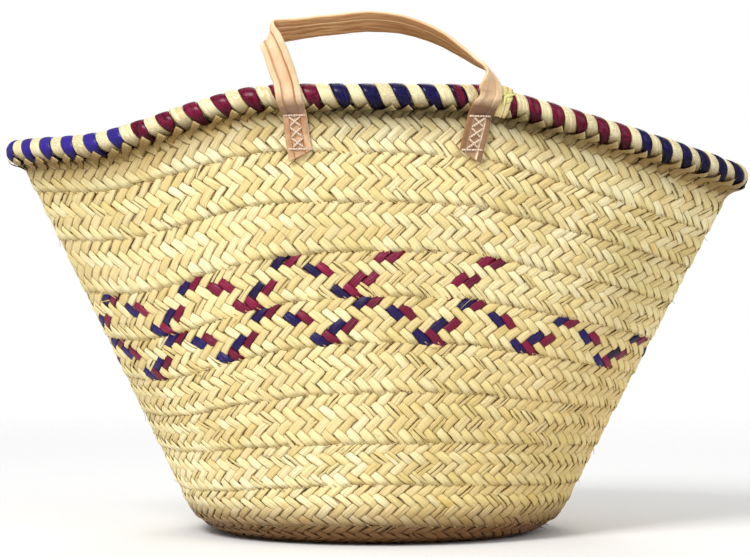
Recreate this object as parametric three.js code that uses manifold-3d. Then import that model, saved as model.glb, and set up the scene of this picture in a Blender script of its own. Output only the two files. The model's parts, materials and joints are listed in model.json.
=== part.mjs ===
// A soft palm-leaf grocery basket with two leather handles, in millimetres, +Z up.
// One long braid is wound in a spiral from the middle of the base to the mouth and sewn edge to edge
// with a cord. A bundle of leaf runs round the mouth under strips of plain and dyed leaf, and the
// handles are folded leather straps whose ends are stitched to the wall.
// The origin is the middle of the whole outline, on the ground. The front faces -Y.

import * as THREE from 'three';
import { mergeVertices } from 'three/addons/utils/BufferGeometryUtils.js';
import Module from 'manifold-3d';

const wasm = await Module();
wasm.setup();

// The mouth, on the centre line of its rim, seen from above: two long arcs with small round tips.
const mouthLength = 562;
const mouthDepth = 260;
const tipRadius = 24;

// The rim is level along the middle of each side and lower at the two tips.
const crestHeight = 327;
const leftTipHeight = 295;
const rightTipHeight = 276;
const crestShare = 0.25; // of the half length, which stays level
const leftSettleShare = 0.82; // of the half length, past which the left end is level again
const rightBendSoftness = 0.05; // how gently the right end starts to fall

// The base stands on a flat round and turns up into the wall.
const flatDiameter = 220;
const footLength = 301;
const footDepth = 286;
const footHeight = 29;

// The braid and the cord that joins its edges.
const braidThickness = 4;
const braidPitch = 33.5;
const seamCordRadius = 1.2;
const seamClearance = 0.3;

// The rim's bundle of leaf and the strips wound round it.
const rimCoreRadius = 5;
const stripThickness = 1.8;
const stripClearance = 2.2; // under the strips, whose loops are polygons here
const stripGap = 0.8; // between one strip and the next
const rimClearance = 1.3; // between the strips and the wall's top edge
const bindingStart = 234; // along the rim, clockwise from the middle of the back
const bindingRuns = [
  { colour: 'purple', loops: 11, pitch: 19.5 },
  { colour: 'magenta', loops: 8, pitch: 18.4 },
  { colour: 'purple', loops: 4, pitch: 21.5 },
  { colour: 'magenta', loops: 7, pitch: 21.9 },
  { colour: 'purple', loops: 8, pitch: 22.6 },
  { colour: 'magenta', loops: 9, pitch: 21.4 },
  { colour: 'purple', loops: 6, pitch: 21.4 },
  { colour: 'magenta', loops: 9, pitch: 21 },
];

// The handle straps.
const strapWidth = 19;
const strapThickness = 3.2;
const strapClearance = 0.3; // to the wall, the rim and the next stretch of strap
const handleSpacing = 136; // between the middles of a strap's two ends
const handleOffset = 7.5; // of a handle's middle, to the right as seen from its own side
const tabWidth = 18;
const tabLength = 31;
const tabTopDrop = 2.2; // from the wall's top edge down to the top of the tab
const tabLeans = [4.8, -7.8]; // how far the tab's foot is to the right of its top
const tabSkews = [5.8, -5.5]; // how much higher the foot's right corner is cut
const kneeHeight = -3; // where the strap leaves its sewn end, from the rim's centre line
const foldAboveRim = 1.4; // from the top of the rim up to the fold of the loop
const kneeLeans = [-3.5, 5]; // how far the strap has moved to the right at its knee
const riserLeans = [-6, 7]; // and at that fold
const backHandleBends = [110, 62]; // degrees outwards at the knees and folds of the back handle

// The stitching on each tab, on the leather's face.
const threadWidth = 1.4;
const threadThickness = 0.8;
const crossesPerTab = 3;
const crossWidth = 8.3;
const stitchRowWidth = 15.5;
const stitchMargin = 2.4; // from the tab's top and its foot

// The route of the loop between its two folds, as seen from its own side: the strap's middle,
// from the rim's centre line at the middle of the handle, and the way its width points.
const loopRoute = [
  { at: [-79.6, -11.4, 24], across: [0.88, -0.44, 0.2] },
  { at: [-83.3, -10.8, 35], across: [0.76, -0.48, 0.46] },
  { at: [-85.8, -6, 43], across: [0.45, -0.2, 0.88] },
  { at: [-83.5, 0, 46.6], across: [0.15, -0.34, 0.92] },
  { at: [-76.5, 3.8, 48.4], across: [0.02, -0.55, 0.84] },
  { at: [-66.5, 5, 50], across: [0, -0.68, 0.73] },
  { at: [-41.5, 5.2, 53], across: [-0.03, -0.74, 0.67] },
  { at: [-9.5, 5.2, 55.6], across: [0.03, -0.74, 0.67] },
  { at: [16.5, 4.6, 52], across: [0.18, -0.84, 0.52] },
  { at: [38.5, 2, 43.2], across: [0.2, -0.93, 0.32] },
  { at: [54.5, -2.6, 32.8], across: [0.1, -0.98, 0.14] },
  { at: [64.6, -8, 25], across: [0, -1, 0.06] },
  { at: [71.2, -11.2, 19.8], across: [-0.3, -0.95, 0] },
  { at: [74.9, -11.2, 15.6], across: [-0.78, -0.62, 0] },
];

const colours = {
  leaf: 0xe2cf90,
  cord: 0xb79a58,
  cream: 0xeee2a8,
  purple: 0x3c2390,
  magenta: 0x94184a,
  leather: 0xe6bf93,
  thread: 0xe9dccb,
};
const finish = (colour, roughness) =>
  new THREE.MeshStandardMaterial({ color: colour, roughness, metalness: 0 });

const halfLength = mouthLength / 2;
const halfDepth = mouthDepth / 2;
const tipCentre = halfLength - tipRadius;
const sideRadius =
  (halfDepth ** 2 + tipCentre ** 2 - tipRadius ** 2) / (2 * (halfDepth - tipRadius));
const sideAngle = Math.atan2(tipCentre, sideRadius - halfDepth);
const sideLength = sideRadius * sideAngle;
const quarterLength = sideLength + tipRadius * (Math.PI / 2 - sideAngle);
const rimLength = 4 * quarterLength;
const stripInner = rimCoreRadius + stripClearance;
const rimRadius = stripInner + stripThickness;

const vector = (x, y, z) => new THREE.Vector3(x, y, z);
const mix = (a, b, t) => a.clone().lerp(b, t);

// A closed solid through a row of rings that have as many points each.
function solidThrough(rings) {
  const count = rings[0].length;
  const places = rings.flat().flatMap((p) => [p.x, p.y, p.z]);
  const faces = [];
  for (let k = 0; k + 1 < rings.length; k++) {
    for (let i = 0; i < count; i++) {
      const j = (i + 1) % count;
      const [a, b, c, d] = [k * count + i, k * count + j, (k + 1) * count + j, (k + 1) * count + i];
      faces.push(a, b, c, a, c, d);
    }
  }
  const last = (rings.length - 1) * count;
  for (let i = 1; i + 1 < count; i++) {
    faces.push(0, i + 1, i, last, last + i, last + i + 1);
  }
  return facingOut(places, faces);
}

// The same for a ring of rings, whose last joins its first.
function solidRound(rings) {
  const count = rings[0].length;
  const places = rings.flat().flatMap((p) => [p.x, p.y, p.z]);
  const faces = [];
  rings.forEach((ring, k) => {
    const next = ((k + 1) % rings.length) * count;
    for (let i = 0; i < count; i++) {
      const j = (i + 1) % count;
      faces.push(k * count + i, k * count + j, next + j, k * count + i, next + j, next + i);
    }
  });
  return facingOut(places, faces);
}

function facingOut(places, faces) {
  const corner = (i) => new THREE.Vector3().fromArray(places, 3 * i);
  let volume = 0;
  for (let k = 0; k < faces.length; k += 3) {
    const [a, b, c] = [corner(faces[k]), corner(faces[k + 1]), corner(faces[k + 2])];
    volume += a.dot(b.cross(c));
  }
  if (volume < 0) {
    faces.reverse();
  }
  const geometry = new THREE.BufferGeometry();
  geometry.setAttribute('position', new THREE.Float32BufferAttribute(places, 3));
  geometry.setIndex(faces);
  return geometry;
}

// Places along the rim are shares of its length, clockwise from above: 0 is the middle of the back,
// a quarter the right tip, a half the middle of the front and three quarters the left tip.
function mouthOutline(share) {
  const turn = 4 * (share - Math.floor(share));
  const quarter = Math.floor(turn);
  const way = quarterLength * (quarter % 2 ? 1 - (turn - quarter) : turn - quarter);
  const onSide = way < sideLength;
  const angle = onSide ? way / sideRadius : sideAngle + (way - sideLength) / tipRadius;
  const x = onSide ? sideRadius * Math.sin(angle) : tipCentre + tipRadius * Math.sin(angle);
  const y = onSide
    ? sideRadius * Math.cos(angle) - (sideRadius - halfDepth)
    : tipRadius * Math.cos(angle);
  return [quarter < 2 ? x : -x, quarter === 0 || quarter === 3 ? y : -y];
}

function rimHeight(x) {
  const share = Math.abs(x) / halfLength;
  if (x < 0) {
    const fall = THREE.MathUtils.smoothstep(share, crestShare, leftSettleShare);
    return crestHeight - (crestHeight - leftTipHeight) * fall;
  }
  const way = Math.max(0, (share - crestShare) / (1 - crestShare));
  const bent = (t) => Math.hypot(t, rightBendSoftness) - rightBendSoftness;
  return crestHeight - ((crestHeight - rightTipHeight) * bent(way)) / bent(1);
}

function rimCentre(share) {
  const [x, y] = mouthOutline(share);
  return vector(x, y, rimHeight(x));
}

const baseAngle = (share) => Math.PI / 2 - 2 * Math.PI * share;

// The middle of the braid's thickness where the wall starts, and at the wall's top edge.
function wallFoot(share) {
  const angle = baseAngle(share);
  const reach = [footLength / 2, footDepth / 2];
  return vector(reach[0] * Math.cos(angle), reach[1] * Math.sin(angle), footHeight);
}

function wallTop(share) {
  const centre = rimCentre(share);
  const down = wallFoot(share).sub(centre).normalize();
  return centre.addScaledVector(down, rimRadius + rimClearance);
}

// The curve that turns the flat base up into the wall.
function footCurve(share, t) {
  const angle = baseAngle(share);
  const level = braidThickness / 2;
  const foot = wallFoot(share);
  const rise = wallTop(share).sub(foot);
  const corner = foot.clone().addScaledVector(rise, (level - footHeight) / rise.z);
  const flat = vector(Math.cos(angle), Math.sin(angle), 0).multiplyScalar(flatDiameter / 2);
  flat.z = level;
  return mix(mix(flat, corner, t), mix(corner, foot, t), t);
}

const lengthSteps = 24;
const frontShare = 0.5;
let turnUpLength = 0;
for (let k = 0; k < lengthSteps; k++) {
  const start = footCurve(frontShare, k / lengthSteps);
  turnUpLength += start.distanceTo(footCurve(frontShare, (k + 1) / lengthSteps));
}
const flatReach = flatDiameter / 2;
const wallStart = flatReach + turnUpLength;
const wallEnd = wallStart + wallFoot(frontShare).distanceTo(wallTop(frontShare));

// The braid's surface: a place round it and the way out from the middle of the base, which is
// measured at the middle of the front.
function surface(share, way) {
  if (way <= flatReach) {
    const angle = baseAngle(share);
    return vector(way * Math.cos(angle), way * Math.sin(angle), braidThickness / 2);
  }
  if (way <= wallStart) {
    return footCurve(share, (way - flatReach) / turnUpLength);
  }
  const t = (way - wallStart) / (wallEnd - wallStart);
  return mix(wallFoot(share), wallTop(share), t);
}

const probeShare = 1e-4;
const probeWay = 0.05;
function surfaceNormal(share, way) {
  const along = surface(share + probeShare, way).sub(surface(share - probeShare, way));
  const up = surface(share, way + probeWay).sub(surface(share, way - probeWay));
  return up.cross(along).normalize();
}

// A place at a height above the braid's middle surface, on the outside when it is positive.
function onBraid(share, way, height) {
  return surface(share, way).addScaledVector(surfaceNormal(share, way), height);
}

// The shares round the basket where the facets meet: few along the sides, more round the tips.
const sideFacets = 8;
const tipFacets = 3;
const quarterShares = [];
for (let k = 0; k < sideFacets; k++) {
  quarterShares.push((k / sideFacets) * (sideLength / quarterLength));
}
for (let k = 0; k < tipFacets; k++) {
  quarterShares.push(1 - (1 - k / tipFacets) * (1 - sideLength / quarterLength));
}
const facetShares = [0, 1, 2, 3].flatMap((quarter) => {
  const away = quarter % 2 === 0;
  const steps = away ? quarterShares : quarterShares.map((q) => 1 - q).reverse();
  return steps.map((q) => (quarter + q) / 4).filter((share) => share < (quarter + 1) / 4 - 1e-9);
});
const facetTurns = [...new Set([...facetShares, 0.25, 0.75])].sort((a, b) => a - b);

function turnsBetween(from, to) {
  const turns = [from];
  for (let whole = Math.floor(from); whole <= to; whole++) {
    turns.push(...facetTurns.map((share) => whole + share));
  }
  const leastStep = 0.004;
  const inner = turns.slice(1).filter((turn) => turn > from + leastStep && turn < to - leastStep);
  return [from, ...inner, to];
}

// The seam between one turn of the spiral and the next. At the middle of the front a seam meets
// the wall's top edge.
const lastSeamTurn = Math.ceil(wallEnd / braidPitch) + frontShare;
const seamWay = (turn) => wallEnd + braidPitch * (turn - lastSeamTurn);
const turnAtSeam = (way) => lastSeamTurn + (way - wallEnd) / braidPitch;
const seamHalfWidth = seamCordRadius * Math.cos(Math.PI / 6) + seamClearance;
const innermost = 2.5;
const narrowest = 5;
const endGap = 0.0004; // of a turn, on each side of a cut across the braid
const braidBegins = turnAtSeam(innermost + narrowest - braidPitch);
const wallBegins = Math.ceil(turnAtSeam(wallStart));
const braidEnds = turnAtSeam(wallEnd - narrowest);

// A stretch of braid. Where the spiral's last turn has run out, the turn under it reaches the edge.
function braidSolid(fromTurn, toTurn, pointsAcross) {
  const stepTurns = [braidEnds - 1 + endGap, braidEnds - 1 + 2 * endGap];
  const extra = stepTurns.filter((turn) => turn > fromTurn && turn < toTurn);
  const turns = [...turnsBetween(fromTurn, toTurn), ...extra].sort((a, b) => a - b);
  const rings = turns.map((turn) => {
    const low = Math.max(seamWay(turn) + seamHalfWidth, innermost);
    const seamAbove = seamWay(turn) + braidPitch - seamHalfWidth;
    const high = turn >= stepTurns[1] ? wallEnd : Math.min(seamAbove, wallEnd);
    const inside = [];
    const outside = [];
    for (let k = 0; k < pointsAcross; k++) {
      const way = THREE.MathUtils.lerp(low, high, k / (pointsAcross - 1));
      inside.push(onBraid(turn, way, -braidThickness / 2));
      outside.unshift(onBraid(turn, way, braidThickness / 2));
    }
    return [...inside, ...outside];
  });
  return solidThrough(rings);
}

function seamCordSolid(fromTurn, toTurn) {
  const corners = [0, 1, 2].map((k) => Math.PI / 2 + (2 * Math.PI * k) / 3);
  const rings = turnsBetween(fromTurn, toTurn).map((turn) =>
    corners.map((angle) => {
      const way = seamWay(turn) + seamCordRadius * Math.cos(angle);
      return onBraid(turn, way, seamCordRadius * Math.sin(angle));
    }),
  );
  return solidThrough(rings);
}

const cordMargin = 4;

// A place on or round the rim: a length along it, a radius from its centre line, and an angle
// from straight up towards the outside.
function roundRim(length, radius, angle) {
  const share = length / rimLength;
  const step = probeShare;
  const along = rimCentre(share + step).sub(rimCentre(share - step)).normalize();
  const up = vector(0, 0, 1).addScaledVector(along, -along.z).normalize();
  const outward = along.clone().cross(up).negate();
  return rimCentre(share)
    .addScaledVector(up, radius * Math.cos(angle))
    .addScaledVector(outward, radius * Math.sin(angle));
}

function rimCoreSolid() {
  const coreSides = 6;
  const sideSteps = 12;
  const tipSteps = 6;
  const lengths = [];
  for (let quarter = 0; quarter < 4; quarter++) {
    const steps = [];
    for (let k = 0; k < sideSteps; k++) {
      steps.push((sideLength * k) / sideSteps);
    }
    for (let k = 0; k < tipSteps; k++) {
      steps.push(sideLength + ((quarterLength - sideLength) * k) / tipSteps);
    }
    const mirrored = steps.map((step) => quarterLength - step).reverse();
    const inOrder = quarter % 2 ? [0, ...mirrored.slice(0, -1)] : steps;
    lengths.push(...inOrder.map((step) => quarter * quarterLength + step));
  }
  const angles = Array.from({ length: coreSides }, (_, k) => (2 * Math.PI * (k + 0.5)) / coreSides);
  const rings = lengths.map((length) =>
    angles.map((angle) => roundRim(length, rimCoreRadius, angle)),
  );
  return solidRound(rings);
}

const sumOfRuns = (measure) => bindingRuns.reduce((sum, run) => sum + measure(run), 0);
const loopsRound = sumOfRuns((run) => run.loops);
const stretch = rimLength / sumOfRuns((run) => run.loops * run.pitch);

// Where the middle of the dyed strip is along the rim after so many turns round it.
function woundTo(turn) {
  const rounds = Math.floor(turn / loopsRound);
  let left = turn - rounds * loopsRound;
  let length = bindingStart + rounds * rimLength;
  for (const run of bindingRuns) {
    const loops = Math.min(left, run.loops);
    length += loops * run.pitch * stretch;
    left -= loops;
  }
  return length;
}

// One strip wound round the rim from inside it. Where it runs down the outside it drifts to the
// right. The cream strip keeps to the middle between the dyed ones.
const stepsPerLoop = 7;
function stripRings(firstTurn, loops, isCream) {
  const steps = loops * stepsPerLoop;
  const endTrim = stripGap / (4 * Math.PI * stripInner);
  const rings = [];
  for (let k = 0; k <= steps; k++) {
    const turn = firstTurn + THREE.MathUtils.lerp(endTrim, loops - endTrim, k / steps);
    const here = woundTo(turn);
    const ahead = woundTo(turn + 1) - here;
    const behind = here - woundTo(turn - 1);
    const middle = isCream ? here + ahead / 2 : here;
    const room = isCream ? ahead / 2 : Math.min(ahead, behind) / 2;
    const half = (room - stripGap) / 2;
    const angle = -Math.PI / 2 - 2 * Math.PI * turn;
    rings.push([
      roundRim(middle - half, stripInner, angle),
      roundRim(middle + half, stripInner, angle),
      roundRim(middle + half, rimRadius, angle),
      roundRim(middle - half, rimRadius, angle),
    ]);
  }
  return rings;
}

// The least distance between the corners of one loop of a strip and those of its other loops.
function gapToItself(rings) {
  let least = Infinity;
  rings.forEach((ring, k) => {
    for (const other of rings.slice(k + stepsPerLoop - 1)) {
      for (const point of ring) {
        least = Math.min(least, ...other.map((corner) => corner.distanceTo(point)));
      }
    }
  });
  return least;
}

// A handle's own frame: x to the right as seen from its side, y inwards and z up. It starts at the
// middle of the handle, where the rim's centre line is furthest out under the straps.
const handleAngle = Math.asin(handleOffset / sideRadius);
const footAngle = Math.asin(handleSpacing / 2 / sideRadius);
const feetShares = [-1, 1].map(
  (side) => frontShare - (sideRadius * (handleAngle + side * footAngle)) / rimLength,
);
const strapReach = Math.sqrt(sideRadius ** 2 - ((handleSpacing - strapWidth) / 2) ** 2);
const frontFrame = new THREE.Matrix4().makeRotationZ(handleAngle);
frontFrame.setPosition(
  strapReach * Math.sin(handleAngle),
  sideRadius - halfDepth - strapReach * Math.cos(handleAngle),
  crestHeight,
);
const halfTurn = new THREE.Matrix4().makeRotationZ(Math.PI);

function handleFrame(isBack) {
  return isBack ? halfTurn.clone().multiply(frontFrame) : frontFrame.clone();
}

// Where a sewn strap end lies on the wall, in the handle's frame: from the middle of its top edge,
// x is to the right, y up along the wall and z out from it.
function tabSeat(isBack, foot) {
  const share = feetShares[foot] + (isBack ? frontShare : 0);
  const middleShare = share - tabLeans[foot] / 2 / rimLength;
  const middleWay = wallEnd - tabTopDrop - tabLength / 2;
  const middle = onBraid(middleShare, middleWay, braidThickness / 2 + strapClearance);
  const out = surfaceNormal(middleShare, middleWay);
  const top = surface(share, wallEnd - tabTopDrop);
  top.addScaledVector(out, middle.sub(top).dot(out));
  const right = vector(0, 0, 1).cross(out).normalize();
  const seat = new THREE.Matrix4().makeBasis(right, out.clone().cross(right), out);
  return handleFrame(isBack).invert().multiply(seat.setPosition(top));
}

const kneeFaceY = -(rimRadius + strapClearance);
const foldHeight = rimRadius + foldAboveRim;
const halfGap = strapClearance / 2;
const halfStrap = strapThickness / 2;

// A cross-section of strap that lies level: its middle, its width along x and its depth along y.
function levelSection(x, innerY, z, width, depth) {
  return [
    vector(x - width / 2, innerY, z),
    vector(x + width / 2, innerY, z),
    vector(x + width / 2, innerY - depth, z),
    vector(x - width / 2, innerY - depth, z),
  ];
}

const footX = (foot) => (foot === 0 ? -1 : 1) * (handleSpacing / 2);

// The strap's middle across the handle at a height between its knee and the loop's fold.
function riserX(foot, z) {
  const rise = (z - kneeHeight) / (foldHeight - kneeHeight);
  return footX(foot) + THREE.MathUtils.lerp(kneeLeans[foot], riserLeans[foot], rise);
}

function strapEndSolid(isBack, foot) {
  const seat = tabSeat(isBack, foot);
  const side = tabWidth / 2;
  const cut = tabSkews[foot] / 2;
  const section = (left, right, leftDrop, rightDrop) =>
    [
      vector(left, -leftDrop, 0),
      vector(right, -rightDrop, 0),
      vector(right, -rightDrop, strapThickness),
      vector(left, -leftDrop, strapThickness),
    ].map((corner) => corner.applyMatrix4(seat));
  const lean = tabLeans[foot];
  const knee = kneeHeight - halfGap;
  const rings = [
    section(lean - side, lean + side, tabLength + cut, tabLength - cut),
    section(-side, side, 0, 0),
    levelSection(riserX(foot, knee), kneeFaceY, knee, strapWidth, strapThickness),
  ];
  return solidThrough(rings);
}

function riserSolid(foot) {
  const rings = [kneeHeight + halfGap, foldHeight - halfStrap - strapClearance].map((z) =>
    levelSection(riserX(foot, z), kneeFaceY, z, strapWidth, strapThickness),
  );
  return solidThrough(rings);
}

// The loop's end is half round, about the line it folds on.
function loopEndSections(foot) {
  return [30, 60, 90].map((degrees) => {
    const angle = THREE.MathUtils.degToRad(degrees);
    const z = foldHeight - halfStrap * Math.cos(angle);
    const half = halfStrap * Math.sin(angle);
    const innerY = kneeFaceY - halfStrap + half;
    return levelSection(riserX(foot, z), innerY, z, strapWidth, 2 * half);
  });
}

function loopSolid() {
  const stepsBetween = 2;
  const middleY = kneeFaceY - halfStrap;
  const spots = loopRoute.map(({ at, across }) => ({
    at: vector(...at),
    across: vector(...across).normalize(),
  }));
  const ends = [0, 1].map((foot) => vector(riserX(foot, foldHeight), middleY, foldHeight));
  const route = new THREE.CatmullRomCurve3([ends[0], ...spots.map((spot) => spot.at), ends[1]]);
  const acrosses = [vector(1, 0, 0), ...spots.map((spot) => spot.across), vector(-1, 0, 0)];
  const rings = loopEndSections(0);
  const count = (acrosses.length - 1) * stepsBetween;
  for (let k = 1; k < count; k++) {
    const here = k / stepsBetween;
    const first = Math.floor(here);
    const t = here / (acrosses.length - 1);
    const along = route.getTangent(t);
    const across = mix(acrosses[first], acrosses[first + 1], here - first);
    across.addScaledVector(along, -across.dot(along)).normalize();
    const through = along.clone().cross(across);
    const point = (w, d) =>
      route
        .getPoint(t)
        .addScaledVector(across, (w * strapWidth) / 2)
        .addScaledVector(through, d * halfStrap);
    rings.push([point(-1, 1), point(1, 1), point(1, -1), point(-1, -1)]);
  }
  for (const [a, b, c, d] of loopEndSections(1).reverse()) {
    rings.push([b, a, d, c]);
  }
  return solidThrough(rings);
}

// One straight stretch of thread, laid flat between two places.
function threadSolid([fromX, fromY], [toX, toY]) {
  const long = Math.hypot(toX - fromX, toY - fromY);
  const [sideX, sideY] = [(fromY - toY) / long, (toX - fromX) / long].map(
    (part) => (part * threadWidth) / 2,
  );
  const section = (x, y) => [
    vector(x - sideX, y - sideY, 0),
    vector(x + sideX, y + sideY, 0),
    vector(x + sideX, y + sideY, threadThickness),
    vector(x - sideX, y - sideY, threadThickness),
  ];
  return solidOf(solidThrough([section(fromX, fromY), section(toX, toY)]));
}

function solidOf(geometry) {
  const merged = mergeVertices(geometry);
  return new wasm.Manifold(
    new wasm.Mesh({
      numProp: 3,
      vertProperties: merged.attributes.position.array,
      triVerts: new Uint32Array(merged.index.array),
    }),
  );
}

function geometryOf(solid) {
  const mesh = solid.getMesh();
  const geometry = new THREE.BufferGeometry();
  geometry.setAttribute('position', new THREE.BufferAttribute(mesh.vertProperties, 3));
  geometry.setIndex(new THREE.BufferAttribute(mesh.triVerts, 1));
  return geometry;
}

// Crosses down the middle of a tab between two rows across it, as one thread, in the tab's seat.
function stitchingSolid(foot) {
  const lean = tabLeans[foot] / tabLength;
  const place = (x, drop) => [x + lean * drop, -drop];
  const last = tabLength - Math.abs(tabSkews[foot]) / 2 - stitchMargin;
  const step = (last - stitchMargin) / crossesPerTab;
  const threads = [stitchMargin, last].map((drop) => [
    place(-stitchRowWidth / 2, drop),
    place(stitchRowWidth / 2, drop),
  ]);
  for (let k = 0; k < crossesPerTab; k++) {
    const top = stitchMargin + k * step;
    for (const side of [-crossWidth / 2, crossWidth / 2]) {
      threads.push([place(side, top), place(-side, top + step)]);
    }
  }
  const solids = threads.map(([from, to]) => threadSolid(from, to));
  return geometryOf(solids.reduce((whole, thread) => whole.add(thread)));
}

const basket = new THREE.Group();

function addPiece(group, name, geometry, material) {
  const mesh = new THREE.Mesh(geometry, material);
  mesh.name = name;
  group.add(mesh);
}

// A group that is bent about a line along x, and keeps its parent's places at no bend.
function bendGroup(parent, y, z, angle) {
  const line = vector(0, y, z);
  const group = new THREE.Group();
  group.rotation.x = angle;
  group.position.copy(line).sub(line.clone().applyEuler(group.rotation));
  parent.add(group);
  return group;
}

const leaf = finish(colours.leaf, 0.7);
const cord = finish(colours.cord, 0.8);
addPiece(basket, 'base_braid', braidSolid(braidBegins, wallBegins - endGap, 3), leaf);
addPiece(basket, 'wall_braid', braidSolid(wallBegins + endGap, braidEnds, 2), leaf);
const cordBegins = turnAtSeam(innermost + cordMargin);
const cordEnds = braidEnds - endGap;
addPiece(basket, 'base_seam_cord', seamCordSolid(cordBegins, wallBegins - endGap), cord);
addPiece(basket, 'wall_seam_cord', seamCordSolid(wallBegins + endGap, cordEnds), cord);

addPiece(basket, 'rim_core', rimCoreSolid(), cord);
const cream = finish(colours.cream, 0.55);
const made = { purple: 0, magenta: 0 };
let runStart = 0;
let leastGap = Infinity;
bindingRuns.forEach(({ colour, loops }, k) => {
  made[colour] += 1;
  const dyedRings = stripRings(runStart, loops, false);
  const creamRings = stripRings(runStart, loops, true);
  const dyed = finish(colours[colour], 0.45);
  addPiece(basket, `${colour}_binding_${made[colour]}`, solidThrough(dyedRings), dyed);
  addPiece(basket, `cream_binding_${k + 1}`, solidThrough(creamRings), cream);
  leastGap = Math.min(leastGap, gapToItself(dyedRings), gapToItself(creamRings));
  runStart += loops;
});
console.log(`Least gap of a winding to itself: ${leastGap.toFixed(2)} mm`);

const leather = finish(colours.leather, 0.6);
const thread = finish(colours.thread, 0.8);
for (const [side, isBack] of [['front', false], ['back', true]]) {
  const handle = new THREE.Group();
  handle.applyMatrix4(handleFrame(isBack));
  basket.add(handle);
  ['left', 'right'].forEach((end, foot) => {
    addPiece(handle, `${side}_strap_end_${end}`, strapEndSolid(isBack, foot), leather);
    const sewn = new THREE.Group();
    sewn.applyMatrix4(tabSeat(isBack, foot));
    sewn.translateZ(strapThickness + strapClearance);
    handle.add(sewn);
    addPiece(sewn, `${side}_stitching_${end}`, stitchingSolid(foot), thread);
  });

  // The free strap bends on the outer edge of its two knees, and the loop in its folds.
  const bends = (isBack ? backHandleBends : [0, 0]).map(THREE.MathUtils.degToRad);
  const knee = bendGroup(handle, kneeFaceY - strapThickness, kneeHeight, bends[0]);
  ['left', 'right'].forEach((end, foot) => {
    addPiece(knee, `${side}_strap_riser_${end}`, riserSolid(foot), leather);
  });
  const fold = bendGroup(knee, kneeFaceY - halfStrap, foldHeight, bends[1]);
  addPiece(fold, `${side}_strap_loop`, loopSolid(), leather);
}

const outline = new THREE.Box3().setFromObject(basket, true);
const centre = outline.getCenter(vector(0, 0, 0));
basket.position.set(-centre.x, -centre.y, -outline.min.z);

export default basket;
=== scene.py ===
# A palm-leaf shopping basket with two leather handles, dressed on its frame, in metres, +Z up.
# The camera and the studio are in metres. From the braid on, sizes are in millimetres, and each
# mesh is made in metres.

import json
import math

import bmesh
import bpy
import numpy as np
from mathutils import Matrix, Vector

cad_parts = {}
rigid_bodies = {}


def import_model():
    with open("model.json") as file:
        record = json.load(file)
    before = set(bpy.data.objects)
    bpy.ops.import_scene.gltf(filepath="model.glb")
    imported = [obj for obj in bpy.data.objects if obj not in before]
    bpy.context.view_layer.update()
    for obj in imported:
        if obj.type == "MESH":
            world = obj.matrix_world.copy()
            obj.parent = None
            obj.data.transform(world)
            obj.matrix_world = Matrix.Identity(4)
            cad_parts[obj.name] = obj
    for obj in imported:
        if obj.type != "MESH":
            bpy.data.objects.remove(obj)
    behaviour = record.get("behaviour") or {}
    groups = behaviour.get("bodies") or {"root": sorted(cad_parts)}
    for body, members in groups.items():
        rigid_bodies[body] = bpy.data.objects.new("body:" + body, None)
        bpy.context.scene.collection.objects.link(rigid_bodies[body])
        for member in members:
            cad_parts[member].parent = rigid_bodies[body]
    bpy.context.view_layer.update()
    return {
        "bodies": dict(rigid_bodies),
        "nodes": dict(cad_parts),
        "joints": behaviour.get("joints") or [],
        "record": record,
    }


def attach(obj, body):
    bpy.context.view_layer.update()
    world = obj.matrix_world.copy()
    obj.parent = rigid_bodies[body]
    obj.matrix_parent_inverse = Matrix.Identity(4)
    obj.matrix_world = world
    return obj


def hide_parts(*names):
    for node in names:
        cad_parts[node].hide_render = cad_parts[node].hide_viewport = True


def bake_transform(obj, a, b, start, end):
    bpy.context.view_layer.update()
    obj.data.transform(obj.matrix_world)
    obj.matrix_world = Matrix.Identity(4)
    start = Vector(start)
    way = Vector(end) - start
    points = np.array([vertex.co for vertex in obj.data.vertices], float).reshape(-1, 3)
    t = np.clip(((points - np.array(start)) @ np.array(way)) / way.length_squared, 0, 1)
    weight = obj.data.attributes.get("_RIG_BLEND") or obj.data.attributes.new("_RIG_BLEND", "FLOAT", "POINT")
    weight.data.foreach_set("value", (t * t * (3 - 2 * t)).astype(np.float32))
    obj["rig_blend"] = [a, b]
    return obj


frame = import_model()

# The camera. The photograph was taken level, 1.8 m in front of the basket and at about half its
# height, and cropped so that the horizon lies below the middle of the picture.

camera_data = bpy.data.cameras.new("camera")
camera_data.sensor_width = 36
camera_data.lens = 110.2
camera_data.shift_y = 0.0447
camera = bpy.data.objects.new("camera", camera_data)
bpy.context.scene.collection.objects.link(camera)
camera.location = (-0.0016, -1.8182, 0.170)
camera.rotation_euler = (math.radians(90), 0, 0)
bpy.context.scene.camera = camera

# The studio: a pale floor that fades into a white surround, and three broad soft lamps, the
# strongest in front on the left, the others in front on the right and behind.


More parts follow.
